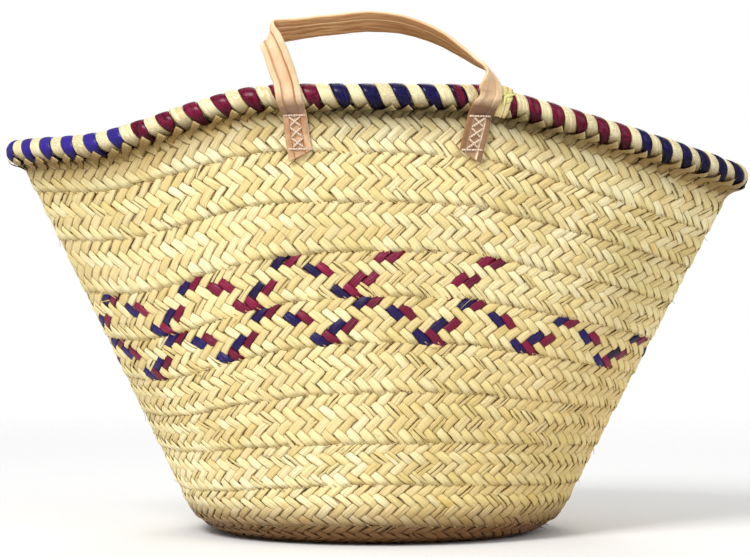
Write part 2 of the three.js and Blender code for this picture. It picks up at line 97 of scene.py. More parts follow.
class Socket:
    """A node's output, on which Python's arithmetic adds Math nodes."""

    def __init__(self, kit, link):
        self.kit, self.link = kit, link

    def _math(self, operation, *inputs, clamp=False):
        settings = {"operation": operation, "use_clamp": clamp}
        return self.kit.node("ShaderNodeMath", settings, dict(enumerate(inputs)))

    def __add__(self, other):
        return self._math("ADD", self, other)

    def __sub__(self, other):
        return self._math("SUBTRACT", self, other)

    def __mul__(self, other):
        return self._math("MULTIPLY", self, other)

    def __truediv__(self, other):
        return self._math("DIVIDE", self, other)

    def __rsub__(self, other):
        return self._math("SUBTRACT", other, self)

    def __rtruediv__(self, other):
        return self._math("DIVIDE", other, self)

    def __neg__(self):
        return self._math("MULTIPLY", self, -1)

    __radd__ = __add__
    __rmul__ = __mul__

    def abs(self):
        return self._math("ABSOLUTE", self)

    def clamped(self):
        return self._math("ADD", self, 0, clamp=True)

    def sine(self):
        return self._math("SINE", self)

    def step(self, low, high):
        """0 below low and 1 above high, with a smooth change between them."""
        return self.kit.node(
            "ShaderNodeMapRange",
            {"interpolation_type": "SMOOTHSTEP"},
            {"Value": self, "From Min": low, "From Max": high},
        )


def srgb(red, green, blue):
    def linear(part):
        part /= 255
        return part / 12.92 if part <= 0.04045 else ((part + 0.055) / 1.055) ** 2.4

    return (linear(red), linear(green), linear(blue), 1)


class Finish:
    """A material, or the surround, and the nodes that make it."""

    def __init__(self, name, shader="Principled BSDF", **constants):
        owners = bpy.data.worlds if shader == "Background" else bpy.data.materials
        self.material = owners.new(name)
        self.material.use_nodes = True
        self.tree = self.material.node_tree
        self.shader = self.tree.nodes[shader]
        for socket, value in constants.items():
            self.shader.inputs[socket.replace("_", " ")].default_value = value

    def node(self, kind, settings=None, inputs=None, output=0):
        made = self.tree.nodes.new(kind)
        for key, value in (settings or {}).items():
            if key == "stops":
                ramp = made.color_ramp
                while len(ramp.elements) < len(value):
                    ramp.elements.new(0.5)
                for element, (place, colour) in zip(ramp.elements, value):
                    element.position = place
                    element.color = colour
            else:
                setattr(made, key, value)
        for key, value in (inputs or {}).items():
            if isinstance(value, Socket):
                self.tree.links.new(value.link, made.inputs[key])
            else:
                made.inputs[key].default_value = value
        return Socket(self, made.outputs[output])

    def attributes(self, group, *names):
        kind = "ShaderNodeAttribute"
        return [self.node(kind, {"attribute_name": f"{group}_{key}"}, output="Fac") for key in names]

    def place(self):
        return self.node("ShaderNodeTexCoord", output="Object")

    def axes(self, place):
        return [self.node("ShaderNodeSeparateXYZ", {}, {0: place}, output=k) for k in range(3)]

    def noise(self, vector, scale, detail=2.0, roughness=0.5):
        inputs = {"Vector": vector, "Scale": scale, "Detail": detail, "Roughness": roughness}
        return self.node("ShaderNodeTexNoise", {}, inputs)

    def streaks(self, along, across, other, detail=1.0, roughness=0.5):
        """Noise that is drawn out along a leaf or a strap."""
        inputs = {"X": along, "Y": across, "Z": other}
        return self.noise(self.node("ShaderNodeCombineXYZ", {}, inputs), 1.0, detail, roughness)

    def mix(self, share, a, b, blend="MIX"):
        """Two colours mixed. A colour that isn't a socket is its red, green and blue up to 255."""
        a, b = (colour if isinstance(colour, Socket) else srgb(*colour) for colour in (a, b))
        settings = {"data_type": "RGBA", "blend_type": blend}
        return self.node("ShaderNodeMix", settings, {0: share, 6: a, 7: b}, output=2)

    def layered(self, colour, *layers):
        """A colour with each layer mixed over it in turn: its share, its tint and how it mixes."""
        for share, *tint in layers:
            colour = self.mix(share, colour, *tint)
        return colour

    def bump(self, height, distance, strength=1.0):
        inputs = {"Height": height, "Distance": distance, "Strength": strength}
        return self.node("ShaderNodeBump", {}, inputs)

    def use(self, **links):
        for socket, value in links.items():
            self.tree.links.new(value.link, self.shader.inputs[socket.replace("_", " ")])


floor_radius, fade_start, fade_end = 3, 0.45, 2.2
bpy.ops.object.select_all(action="DESELECT")
bpy.ops.mesh.primitive_circle_add(vertices=96, radius=floor_radius, fill_type="NGON")
floor = bpy.context.object
floor.name = "studio_floor"
pale_floor = Finish("pale_floor", Base_Color=(0.78, 0.78, 0.78, 1), Roughness=0.9)
floor_reach = pale_floor.node(
    "ShaderNodeVectorMath", {"operation": "LENGTH"}, {0: pale_floor.place()}, output="Value"
)
pale_floor.use(Alpha=1 - floor_reach.step(fade_start, fade_end))
floor.data.materials.append(pale_floor.material)

# The surround is seen as white and lights the basket less than that, as a paper backdrop does.
# Still less of it is mirrored, because the room in front of the basket is darker.
surround_seen, surround_light, surround_mirrored = 1.0, 0.66, 0.25
surround = Finish("pale_surround", "Background", Color=(1, 1, 1, 1))
is_seen = surround.node("ShaderNodeLightPath", output="Is Camera Ray")
is_mirrored = surround.node("ShaderNodeLightPath", output="Is Glossy Ray")
strength = surround_light + is_seen * (surround_seen - surround_light)
surround.use(Strength=strength + is_mirrored * (surround_mirrored - strength))
bpy.context.scene.world = surround.material
bpy.context.scene.view_settings.view_transform = "Standard"

for lamp_name, place, aim, size, power in (
    ("lamp_left", (-1.2, -1.7, 2.1), (0, 0, 0.15), 1.1, 66),
    ("lamp_right", (2.2, -1.4, 1.6), (0, 0, 0.15), 1.6, 16),
    ("lamp_back", (0.4, 2.4, 2.2), (0, 0, 0.2), 1.6, 26),
):
    lamp_data = bpy.data.lights.new(lamp_name, "AREA")
    lamp_data.size = size
    lamp_data.energy = power
    lamp = bpy.data.objects.new(lamp_name, lamp_data)
    bpy.context.scene.collection.objects.link(lamp)
    lamp.location = place
    lamp.rotation_euler = (Vector(aim) - Vector(place)).to_track_quat("-Z", "Y").to_euler()

# The braid. Eight palm-leaf strands are plaited in a twill, over two and under two, into one long
# band. The band is wound in a spiral from the middle of the base up to the mouth. Some strands are
# dyed purple or magenta for a few folds.

MM = 0.001
# places are counted from the middle of the mouth, and this leads to the middle of the outline
middle_of_outline = np.array([0.0236, -18.1337, 0.0])

mouth_length, mouth_depth, tip_radius = 562, 260, 24
crest_height, left_tip_height, right_tip_height = 327, 295, 276
crest_share, left_settle_share, right_bend_softness = 0.25, 0.82, 0.05
flat_radius, foot_length, foot_depth, foot_height = 110, 301, 286, 29
braid_thickness, band_width = 4, 33.5
rim_radius, rim_clearance = 9, 1.3

half_length, half_depth = mouth_length / 2, mouth_depth / 2
tip_centre = half_length - tip_radius
side_radius = (half_depth**2 + tip_centre**2 - tip_radius**2) / (2 * (half_depth - tip_radius))
side_angle = math.atan2(tip_centre, side_radius - half_depth)
side_length = side_radius * side_angle
quarter_length = side_length + tip_radius * (math.pi / 2 - side_angle)
rim_length = 4 * quarter_length


def smooth(t):
    t = np.clip(t, 0, 1)
    return t * t * (3 - 2 * t)


def unit(v):
    return v / np.maximum(np.linalg.norm(v, axis=-1, keepdims=True), 1e-12)


# Places round the basket are shares of a turn, clockwise from above: 0 is the middle of the back, a
# quarter the right tip, a half the middle of the front and three quarters the left tip.
def rim_centre(share):
    share = np.asarray(share, float)
    turn = 4 * (share - np.floor(share))
    quarter = np.floor(turn)
    way = quarter_length * np.where(quarter % 2 == 1, 1 + quarter - turn, turn - quarter)
    on_side = way < side_length
    angle = np.where(on_side, way / side_radius, side_angle + (way - side_length) / tip_radius)
    radius = np.where(on_side, side_radius, tip_radius)
    x = np.where(on_side, 0, tip_centre) + radius * np.sin(angle)
    y = np.where(on_side, half_depth - side_radius, 0) + radius * np.cos(angle)
    x = np.where(quarter < 2, x, -x)
    y = np.where((quarter == 0) | (quarter == 3), y, -y)
    out = np.abs(x) / half_length

    def eased(t):
        return np.hypot(t, right_bend_softness) - right_bend_softness

    left = smooth((out - crest_share) / (left_settle_share - crest_share))
    right = eased(np.maximum(0, (out - crest_share) / (1 - crest_share))) / eased(1)
    drop = np.where(
        x < 0,
        (crest_height - left_tip_height) * left,
        (crest_height - right_tip_height) * right,
    )
    return np.stack([x, y, crest_height - drop], -1)


def base_direction(share):
    angle = math.pi / 2 - 2 * math.pi * np.asarray(share, float)
    return np.stack([np.cos(angle), np.sin(angle), 0 * angle], -1)


def wall_foot(share):
    return base_direction(share) * [foot_length / 2, foot_depth / 2, 0] + [0, 0, foot_height]


def wall_top(share):
    centre = rim_centre(share)
    return centre + unit(wall_foot(share) - centre) * (rim_radius + rim_clearance)


def foot_curve(share, t):
    level = braid_thickness / 2
    foot = wall_foot(share)
    rise = wall_top(share) - foot
    corner = foot + rise * ((level - foot_height) / rise[..., 2:3])
    flat = base_direction(share) * flat_radius + [0, 0, level]
    t = np.asarray(t)[..., None]
    return (flat * (1 - t) + corner * t) * (1 - t) + (corner * (1 - t) + foot * t) * t


front_share = 0.5
turn_up_points = foot_curve(np.full(25, front_share), np.linspace(0, 1, 25))
turn_up_length = np.linalg.norm(np.diff(turn_up_points, axis=0), axis=1).sum()
wall_start = flat_radius + turn_up_length
wall_height = np.linalg.norm(wall_foot(front_share) - wall_top(front_share))
wall_end = wall_start + wall_height


# The middle of the braid's thickness: a share of a turn and the way out from the base's middle.
def surface(share, way):
    share, way = np.broadcast_arrays(np.asarray(share, float), np.asarray(way, float))
    flat = base_direction(share) * way[..., None] + [0, 0, braid_thickness / 2]
    bend = foot_curve(share, np.clip((way - flat_radius) / turn_up_length, 0, 1))
    t = ((way - wall_start) / wall_height)[..., None]
    wall = wall_foot(share) * (1 - t) + wall_top(share) * t
    on_wall = np.where((way <= wall_start)[..., None], bend, wall)
    return np.where((way <= flat_radius)[..., None], flat, on_wall)


def surface_normal(share, way):
    along = surface(share + 1e-4, way) - surface(share - 1e-4, way)
    up = surface(share, way + 0.05) - surface(share, way - 0.05)
    return unit(np.cross(up, along))


# The seams between one turn and the next. The photograph's seams sag towards the left end.
last_seam_turn = math.ceil(wall_end / band_width) + front_share
# By turn: how far a seam lies over its even height in the middle of the front and at the left tip.
# It is even at the right tip and behind.
seam_sag_middle = {13: 3, 12: 1, 11: -1, 10: 0, 9: 0, 8: -3, 7: -7, 6: -3, 5: 0}
seam_sag_left = {13: 0, 12: -7, 11: -19, 10: -25, 9: -26, 8: -23, 7: -19, 6: -18, 5: -12}
sag_places, sag_sizes = [0, 4.9], [0, 0]
for whole in sorted(seam_sag_middle):
    sag_places += [whole + 0.02, whole + 0.3, whole + 0.51, whole + 0.67, whole + 0.75]
    sag_sizes += [0, 0, seam_sag_middle[whole], seam_sag_left[whole], seam_sag_left[whole]]
sag_places += [14, 16]
sag_sizes += [0, 0]
last_turn, steps_per_turn, softening_steps = 15.5, 2000, 241
turns = np.linspace(0, last_turn, int(last_turn * steps_per_turn) + 1)
softening = np.hanning(softening_steps) / np.hanning(softening_steps).sum()
sags = np.interp(turns, sag_places, sag_sizes)
sags = np.convolve(np.pad(sags, softening_steps // 2, mode="edge"), softening, mode="valid")


def seam_way(turn):
    regular = wall_end + band_width * (np.asarray(turn) - last_seam_turn)
    return regular + np.interp(turn, turns, sags)


# Columns are the strands' places along the band. They stand further apart towards the two tips.
tightest_turn, front_spacing, tip_spread = 9, 9.358, 0.38
middle_way = (seam_way(turns) + seam_way(np.minimum(turns + 1, last_turn))) / 2
middle_way = np.clip(middle_way, tightest_turn, wall_end)
turn_steps = np.linalg.norm(np.diff(surface(turns, middle_way), axis=0), axis=1)
to_tip = np.mod(turns, 0.5)
to_tip = np.minimum(to_tip, 0.5 - to_tip) / 0.25
column_spacing = front_spacing * (1 + tip_spread * to_tip**2)
columns = np.concatenate(
    [[0], np.cumsum(turn_steps / ((column_spacing[1:] + column_spacing[:-1]) / 2))]
)

# A strand's lines across itself, from one fold to the next, in crossings: on a way down to the
# right as seen from outside, its height, and how far the line is turned level for the fold.
strands_in_band = 8
pass_length = 8
rows_in_band = pass_length // 2
row_depth = band_width / rows_in_band
down_lines = (
    (0.0, 0.0, 1.0), (0.5, -0.8, 0.5), (1.5, -1.0, 0.0), (2.15, -0.72, 0.0), (2.5, 0.0, 0.0),
    (2.85, 0.74, 0.0), (3.5, 1.0, 0.0), (4.15, 0.74, 0.0), (4.5, 0.0, 0.0), (4.85, -0.72, 0.0),
    (5.5, -1.0, 0.0), (6.15, -0.72, 0.0), (6.5, 0.0, 0.0), (6.85, 0.74, 0.0), (7.4, 1.0, 0.5),
)  # fmt: skip
up_lines = [(0.0, 0.0, 1.0)]
up_lines += [(pass_length - s, -h, k) for s, h, k in reversed(down_lines[1:])]
# heights: of a strand over its neighbour, of a leaf's own half and crown, and of one row over the
# next, and how much fuller the band is along its middle
weave_rise, leaf_half_thickness, leaf_crown = 0.85, 0.42, 0.4
shingle, row_relief, band_fullness = 0.45, 0.2, 0.35
# how far a fold's tip is rounded and wanders, and how the wall's top is drawn up under the rim
edge_scallop, fold_wander, tuck_reach, tuck = 1.7, 0.8, 40, 5
# how uneven the strands are in their place, their width, their rise and their tilt, and how far a
# leaf has turned over just beside its fold, on the way down and on the way up
uneven_place, uneven_width, uneven_rise, uneven_tilt = 0.05, 0.04, 0.07, 0.22
beside_fold_down, beside_fold_up = 0.54, 2.6
# the painted shade under the rim, in two parts: its share, how far down it starts, and its reach
rim_shade_parts = ((0.45, 30, 22), (0.55, 12, 9))
# a strand's section: its points' places across it, and their sides, front or back
across_places = np.array([-1, -0.5, 0.5, 1, 0.5, -0.5])
leaf_sides = len(across_places)
across_sides = np.array([0, 1, 1, 0, -1, -1])
half_thickness = leaf_half_thickness * np.array([0.82, 1, 0.82, 0.82, 1, 0.82])
crossing_length = 6.3
# the fold takes up half a crossing at one edge only, and the rows are drawn even all the same
uneven_rows = [0, 0.75, 1.75, 2.75, 4]
even_rows = [-0.05, 0.98, 2, 3, 4.05]
row_slip = [0.25, 0, 0, 0, -0.25]


def column_at(turn):
    return float(np.interp(turn, turns, columns))


# Dyed stretches: the turn at which the leftmost fold is seen, and the colours of the left strand
# and of the one beside it, fold by fold to the right. 1 is magenta, 2 is purple, 3 fresh green.
dyed = {}


def dye_strand(first_pass, strand, tints):
    for k, tint in enumerate(tints):
        dyed[(strand, first_pass + k)] = tint


# from the start of a pass to its first float that is seen, in columns
float_down, float_up = 1.75, 1.25
lattice_start = -column_at(9.480) - float_down


def dye_run(turn, goes_down, left_tints, right_tints):
    # the pass whose first visible float is nearest to that turn
    wanted = -column_at(turn) - (float_down if goes_down else float_up)
    steps = round(wanted - lattice_start) - (0 if goes_down else rows_in_band)
    strand = steps % strands_in_band
    number = 2 * ((steps - strand) // strands_in_band) + (0 if goes_down else 1)
    dye_strand(number, strand, left_tints)
    beside = (strand + 1) % strands_in_band
    dye_strand(number + (2 if beside == 0 else 0), beside, right_tints)


# The front, lower course from the left end, and the upper course. The back has the same pattern.
dye_run(9.714, True, [2] * 13, [1] * 13)
dye_run(9.80, True, [2] * 2, [1] * 2)
dye_run(10.732, False, [2, 2, 2, 1, 2, 2, 1, 0, 1], [1, 1, 1, 1, 1, 1, 1, 0, 1])
dye_run(9.214, True, [2] * 8, [1] * 8)
dye_run(11.214, True, [2] * 13, [1] * 13)


def face_rings(ring_count, ring_size):
    k, i = np.meshgrid(np.arange(ring_count - 1), np.arange(ring_size), indexing="ij")
    j = (i + 1) % ring_size
    quads = np.stack(
        [k * ring_size + i, (k + 1) * ring_size + i, (k + 1) * ring_size + j, k * ring_size + j], -1
    )
    return quads.reshape(-1, 4)


def closed_faces(ring_count, ring_size, offset=0):
    faces = [list(face) for face in face_rings(ring_count, ring_size) + offset]
    faces.append([offset + i for i in reversed(range(ring_size))])
    faces.append([offset + (ring_count - 1) * ring_size + i for i in range(ring_size)])
    return faces


def new_piece(name, points, faces, material, group, values, outwards=True):
    """A piece of points in millimetres. The values become attributes with the group's name."""
    mesh = bpy.data.meshes.new(name)
    mesh.from_pydata(points * MM, [], faces)
    mesh.update()
    piece = bpy.data.objects.new(name, mesh)
    bpy.context.scene.collection.objects.link(piece)
    mesh.shade_smooth()
    mesh.materials.append(material)
    if outwards:
        shape = bmesh.new()
        shape.from_mesh(mesh)
        bmesh.ops.recalc_face_normals(shape, faces=shape.faces)
        shape.to_mesh(mesh)
        shape.free()
    for key, value in values.items():
        attribute = mesh.attributes.new(f"{group}_{key}", "FLOAT", "POINT")
        attribute.data.foreach_set("value", np.asarray(value, np.float32).ravel())
    return piece


def tube_piece(name, tubes, *finish, **options):
    """A piece of closed tubes. Each tube is an array of its rings of points."""
    faces, start = [], 0
    for tube in tubes:
        count, size = tube.shape[:2]
        faces += closed_faces(count, size, start)
        start += count * size
    points = np.concatenate([tube.reshape(-1, 3) for tube in tubes])
    return new_piece(name, points, faces, *finish, **options)


def lay_out_rings(piece, size):
    """A map on which each face of a piece built of rings has a cell of its own, for baking."""
    mesh = piece.data
    corner = np.empty(len(mesh.loops), np.int32)
    mesh.loops.foreach_get("vertex_index", corner)
    start, count = np.empty((2, len(mesh.polygons)), np.int32)
    mesh.polygons.foreach_get("loop_start", start)
    mesh.polygons.foreach_get("loop_total", count)
    ring, spot = corner // size, corner % size
    low, high = np.minimum.reduceat(ring, start), np.maximum.reduceat(ring, start)
    joined = np.zeros(len(mesh.vertices) // size, bool)
    joined[low[low < high]] = True
    is_first = np.concatenate([[True], ~joined[:-1]])
    along = 1 + np.concatenate([[0], np.cumsum(np.where(joined[:-1], 1, 2))])
    row_length = math.ceil(math.sqrt(along[-1] * (size + 1)))
    row_count = along[-1] // row_length + 1
    face = np.repeat(np.arange(len(start)), count)
    row, column = np.divmod(along[low[face]], row_length)
    # the face that closes a ring goes from its last point to one past it
    closes = np.maximum.reduceat(spot, start) - np.minimum.reduceat(spot, start) == size - 1
    past = np.where(closes[face] & (spot == 0), size, spot)
    angle = 2 * math.pi * spot / size
    is_end = (low == high)[face]
    end_side = np.where(is_first[ring], -0.5, 0.5)
    u = column + np.where(is_end, end_side + 0.4 * np.cos(angle), ring - low[face])
    v = row * (size + 1) + np.where(is_end, size * (0.5 + 0.4 * np.sin(angle)), past)
    places = np.stack([(u + 1) / (row_length + 3), (v + 0.5) / (row_count * (size + 1))], -1)
    mesh.uv_layers.new(name="OFBake").data.foreach_set("uv", places.astype(np.float32).ravel())


def leaf_colour(finish, tone):
    stops = (
        (0.0, srgb(200, 178, 112)),
        (0.25, srgb(226, 206, 142)),
        (0.55, srgb(242, 227, 170)),
        (0.85, srgb(249, 241, 198)),
        (1.0, srgb(232, 200, 120)),
    )
    return finish.node("ShaderNodeValToRGB", {"stops": stops}, {"Fac": tone.clamped()})


leaf_keys = ("run", "across", "tone", "dye", "depth", "up", "rim")
braid_leaf = Finish("braided_leaf", Roughness=0.5, Specular_IOR_Level=0.3)
run, across, tone, dye, depth, goes_up, under_rim_shade = braid_leaf.attributes("leaf", *leaf_keys)
leaf_place = braid_leaf.place()
x_place, y_place, z_place = braid_leaf.axes(leaf_place)
fibre = braid_leaf.streaks(run * 0.045, across * 15, tone * 61, 3.0, 0.6)
lines = braid_leaf.streaks(run * 0.03, across * 32, tone * 17)
crease = braid_leaf.streaks(run * 0.02, across * 4.2, tone * 93 + 7)
patch = braid_leaf.noise(leaf_place, 9.0, 2.0, 0.55)
small_patch = braid_leaf.noise(leaf_place, 75.0)
edge = (2 * across - 1).abs().step(0.8, 1.0)
golden = x_place.step(-0.05, 0.2) * (1 - z_place.step(0.05, 0.24))

is_dyed = dye.step(0.4, 0.6)
magenta = braid_leaf.mix((tone + small_patch * 0.6).clamped(), (80, 2, 28), (132, 10, 56))
purple = braid_leaf.mix(x_place.abs().step(0.02, 0.22), (26, 14, 92), (40, 24, 120))
purple = braid_leaf.mix((tone + small_patch * 0.4 - 0.2).clamped(), (14, 8, 38), purple)
dyed_colour = braid_leaf.layered(
    magenta,
    (dye.step(1.4, 1.6), purple),
    (dye.step(2.4, 2.6), (222, 216, 138)),
    (fibre.step(0.5, 0.8) * 0.12, (170, 80, 120)),
    (edge * 0.5, (40, 8, 30)),
    (goes_up * 0.2, (34, 6, 26)),
)

# painted shade in its depths and under the rim, most of all between the handle's ends
shade = braid_leaf.mix(depth.step(0.08, 0.62), (144, 98, 42), (255, 255, 255))
between_ends = 1 - (x_place - 0.03).abs().step(0.05, 0.16)
dusk = braid_leaf.mix(between_ends, (158, 138, 104), (92, 82, 54))
# darker and browner round the foot, part soiling and part painted shade where the foot turns under, but not
# on the flat of the base
x_share, y_share = x_place / 0.15, (y_place + 0.018) / 0.143
off_middle = x_share * x_share + y_share * y_share
foot_dirt_and_shade = (1 - z_place.step(0.008, 0.036)) * (0.15 + 0.8 * off_middle.step(0.45, 0.7))
colour = braid_leaf.layered(
    leaf_colour(braid_leaf, tone * 0.7 + small_patch * 0.45 - goes_up * 0.08 + 0.05),
    (golden * 0.6, (224, 186, 96)),
    (patch.step(0.48, 0.7) * 0.45, (200, 184, 112)),
    (goes_up * patch.step(0.3, 0.6) * 0.35, (206, 178, 126)),
    (crease.step(0.46, 0.62) * 0.35, (206, 180, 112)),
    (fibre.step(0.5, 0.72) * (0.4 + goes_up * 0.25), (190, 154, 88)),
    (lines.step(0.5, 0.66) * 0.3, (204, 176, 112)),
    (edge * 0.8, (184, 136, 60)),
    (is_dyed, dyed_colour),
    (1.0, shade, "MULTIPLY"),
    (under_rim_shade * 0.95, dusk, "MULTIPLY"),
    (foot_dirt_and_shade, (120, 80, 34), "MULTIPLY"),
)
braid_leaf.use(
    Base_Color=colour,
    Roughness=0.42 + fibre * 0.25 - is_dyed * 0.12,
    Normal=braid_leaf.bump(fibre * 0.7 + crease.step(0.35, 0.6), 0.0004, 0.8),
)

# The leaves that the strands are made of, each some folds long. A split leaf is two narrow parts.
# A part is its middle and its width, in half widths of the strand.
plait_end_turn, split_leaves, split_gap, split_folds = 14.8, 0.3, 0.03, 2
fewest_folds, folds_below, fullest_leaf, fill_range = 3, 10, 1.14, 0.24
leaf_random = np.random.default_rng(11)
total_columns = columns[np.searchsorted(turns, plait_end_turn)]
first = math.floor((-total_columns - lattice_start) / strands_in_band) - 2
last = math.ceil(-lattice_start / strands_in_band) + 2
leaves = []
for strand in range(strands_in_band):
    leaf, leaf_left = None, 0
    for number in range(2 * first, 2 * last):
        tint = dyed.get((strand, number), 0)
        start_column = lattice_start + strand + number * pass_length / 2
        if not columns[0] < -(start_column + pass_length / 4) < total_columns:
            leaf_left = 0
            continue
        if leaf_left == 0 or tint != leaf["tint"]:
            leaf = {"strand": strand, "tint": tint, "passes": [], "parts": [(0, 1)]}
            leaf["fill"] = fullest_leaf - fill_range * leaf_random.random() ** 1.5
            leaf["tone"] = leaf_random.beta(2.2, 2.0)
            if leaf_random.random() < split_leaves and tint == 0:
                cut = leaf_random.uniform(-0.45, 0.45)
                leaf["parts"] = [
                    ((cut - 1) / 2, (cut + 1) / 2 - split_gap),
                    ((cut + 1) / 2, (1 - cut) / 2 - split_gap),
                ]
            leaves.append(leaf)
            leaf_left = split_folds
            if len(leaf["parts"]) == 1:
                leaf_left = int(leaf_random.integers(fewest_folds, folds_below))
        leaf["passes"].append(number)
        leaf_left -= 1


def strand_points(leaf, offset, share):
    """A leaf's run of folds, or a split part's: its points on the band and what its finish needs."""
    rows = []
    for number in leaf["passes"]:
        for s, height, level in up_lines if number % 2 else down_lines:
            rows.append((number * pass_length + s, height, level))
    rows.append(((leaf["passes"][-1] + 1) * pass_length, 0.0, 1.0))
    s, height, level = (np.array(part)[:, None] for part in zip(*rows))

    def uneven(size):
        return leaf_random.normal(0, size, s.shape)

    tone = leaf["tone"] + (0 if share == 1 else leaf_random.uniform(-0.25, 0.05))
    wander = uneven(uneven_place)
    wander = (wander + np.roll(wander, 1, axis=0) + np.roll(wander, 2, axis=0)) / 1.8
    w = (offset + across_places * share) * (leaf["fill"] / 2) * (1 + uneven(uneven_width))
    here = s + level * w
    number = np.floor(s / pass_length + 1e-6)
    going_up = number % 2 == 1
    # past the fold's crease a point comes back, as a folded leaf does
    down_the_band = np.abs(here - number * pass_length - w)
    v = np.where(going_up, down_the_band, pass_length - down_the_band) / 2
    v = np.where(v > rows_in_band, 2 * rows_in_band - v, v)
    column = lattice_start + leaf["strand"] + (here + w) / 2 + wander
    column = column + np.interp(v, uneven_rows, row_slip)
    v = np.interp(v, uneven_rows, even_rows) * row_depth
    turn = np.interp(-column, columns, turns)
    # the leaf's own front side turns over at each fold
    is_crease = level > 0.9
    near_crease = (level > 0.4) & ~is_crease
    angle = np.where(going_up, math.pi, 0.0)
    angle = np.where(near_crease, np.where(going_up, beside_fold_up, beside_fold_down), angle)
    angle = np.where(is_crease, math.pi / 2, angle)
    tilt = uneven(uneven_tilt)
    tilt = (tilt + np.roll(tilt, 1, axis=0)) / 1.6
    side = across_sides * half_thickness
    rise = height * weave_rise * (1 + uneven(uneven_rise))
    out = rise + side * np.cos(angle) + tilt * across_places * np.abs(height)
    # the band is a little fuller along its middle, and drawn in where it is sewn
    across_band = v / band_width * 2 - 1
    out = out + band_fullness * (0.6 - across_band**4) - shingle * across_band
    out = out + row_relief * np.where(going_up, -1, 1) * (height > 0.3)
    out = out + leaf_crown * (0.5 - across_places**2) * height.clip(0, 1)
    v = v - side * np.sin(angle)
    # a fold's tip is rounded and none reaches exactly as far as the next
    tip = edge_scallop * (0.65 - across_places**2) * level
    tip = tip + fold_wander * is_crease * uneven(1)
    v = v + np.where(across_band > 0, 1, -1) * tip
    low, high = seam_way(turn), seam_way(turn + 1)
    way = low + v / band_width * (high - low)
    way = way + tuck * smooth((way - (wall_end - tuck_reach)) / tuck_reach)
    # how deep a point lies, seen from the side of the wall that it faces
    facing = across_sides * np.cos(angle)
    facing = np.where(np.abs(facing) < 0.1, out > 0, np.sign(facing))
    depth = 0.5 + 0.5 * facing * out / (weave_rise + leaf_half_thickness)
    # painted shade under the rim: how much a point takes, by how near it lies to the rim
    rim = sum(share * smooth((way - (wall_end - down)) / reach) for share, down, reach in rim_shade_parts)
    return {
        "turn": turn,
        "way": way,
        "out": out,
        "run": s * crossing_length + 0 * w + leaf_random.uniform(0, 4000),
        "across": across_places / 2 + 0.5 + 0 * s,
        "tone": np.full_like(way, tone),
        "dye": np.full_like(way, leaf["tint"]),
        "depth": np.clip(depth, 0, 1),
        "up": going_up + 0 * way,
        "rim": rim,
    }


braid_parts = {
    "base_plait": (0, 6.0, "base_braid"),
    "wall_plait_low": (6.0, 8.9, "wall_braid"),
    "wall_plait_middle": (8.9, 11.7, "wall_braid"),
    "wall_plait_high": (11.7, 15.5, "wall_braid"),
}
# how far the plait runs on under the rim, how far past that a line may lie that is drawn back to
# it, the size of the hole in the base's middle, and how near to the middle a point may come
tucked_in, drawn_back, centre_hole, nearest_way, fewest_rings = 5.5, 6, 3, 1.5, 4
gathered = {name: [] for name in braid_parts}
for leaf, (offset, share) in ((leaf, part) for leaf in leaves for part in leaf["parts"]):
    data = strand_points(leaf, offset, share)
    middle = data["way"].mean(axis=1)
    inside = (middle > centre_hole) & (middle < wall_end + tucked_in + drawn_back)
    edges = np.flatnonzero(np.diff(np.concatenate([[0], inside.astype(int), [0]])))
    for begin, end in zip(edges[::2], edges[1::2]):
        stretch = {key: value[begin:end] for key, value in data.items()}
        for name, (low, high, _) in braid_parts.items():
            if end - begin >= fewest_rings and low <= stretch["turn"].mean() < high:
                gathered[name].append(stretch)

for name, (_, _, node) in braid_parts.items():
    tubes = []
    for stretch in gathered[name]:
        way = np.clip(stretch["way"], nearest_way, wall_end + tucked_in)
        out = surface_normal(stretch["turn"], way) * stretch["out"][..., None]
        place = surface(stretch["turn"], way) + out + middle_of_outline
        place[..., 2] = np.maximum(place[..., 2], 0)
        tubes.append(place)
    values = {
        key: np.concatenate([stretch[key].ravel() for stretch in gathered[name]])
        for key in leaf_keys
    }
    piece = tube_piece(name, tubes, braid_leaf.material, "leaf", values, outwards=False)
    lay_out_rings(piece, leaf_sides)
    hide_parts(node)
    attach(piece, "basket")

# The sewing cord. A thin twisted cord of palm fibre runs in and out through the folds of two
# neighbouring turns and draws them together. It shows as short slanted stitches in the seam.

cord_radius, cord_sides, stitch_columns, steps_per_stitch = 0.55, 5, 1.0, 5
stitch_sway, stitch_depth, stitch_run, cord_past_end = 1.5, 0.8, 9.4, 4
cord_random = np.random.default_rng(5)


def tube_rings(path, radius, sides):
    """Rings of points round a path, for one tube."""
    along = unit(np.gradient(path, axis=0))
    first = np.cross(along[0], [0, 0, 1])
    if np.linalg.norm(first) < 1e-3:
        first = np.cross(along[0], [0, 1, 0])
    normals = [unit(first)]
    for direction in along[1:]:
        normals.append(unit(normals[-1] - direction * np.dot(normals[-1], direction)))
    normals = np.array(normals)
    others = np.cross(along, normals)
    angle = (2 * math.pi * np.arange(sides) / sides)[:, None]
    radius = np.broadcast_to(radius, len(path))[:, None, None]
    spoke = normals[:, None] * np.cos(angle) + others[:, None] * np.sin(angle)
    return path[:, None] + spoke * radius


def twisted_finish(name, twists, patches, tints, groove_shade, groove_end, relief, **constants):
    """A twisted cord's or thread's material: two tints in patches, with painted shade between its twists."""
    finish = Finish(name, **constants)
    (run,) = finish.attributes("cord", "run")
    twist = (run * twists).sine()
    tint = finish.mix(finish.noise(finish.place(), patches), *tints)
    finish.use(
        Base_Color=finish.mix(twist.step(-1, groove_end), groove_shade, tint),
        Roughness=constants["Roughness"] + twist * 0.08,
        Normal=finish.bump(twist, relief),
    )
    return finish.material


seam_cord = twisted_finish(
    "seam_cord",
    twists=3.2,
    patches=60.0,
    tints=((214, 190, 130), (176, 146, 88)),
    groove_shade=(150, 118, 66),
    groove_end=0.4,
    relief=0.0003,
    Roughness=0.7,
)

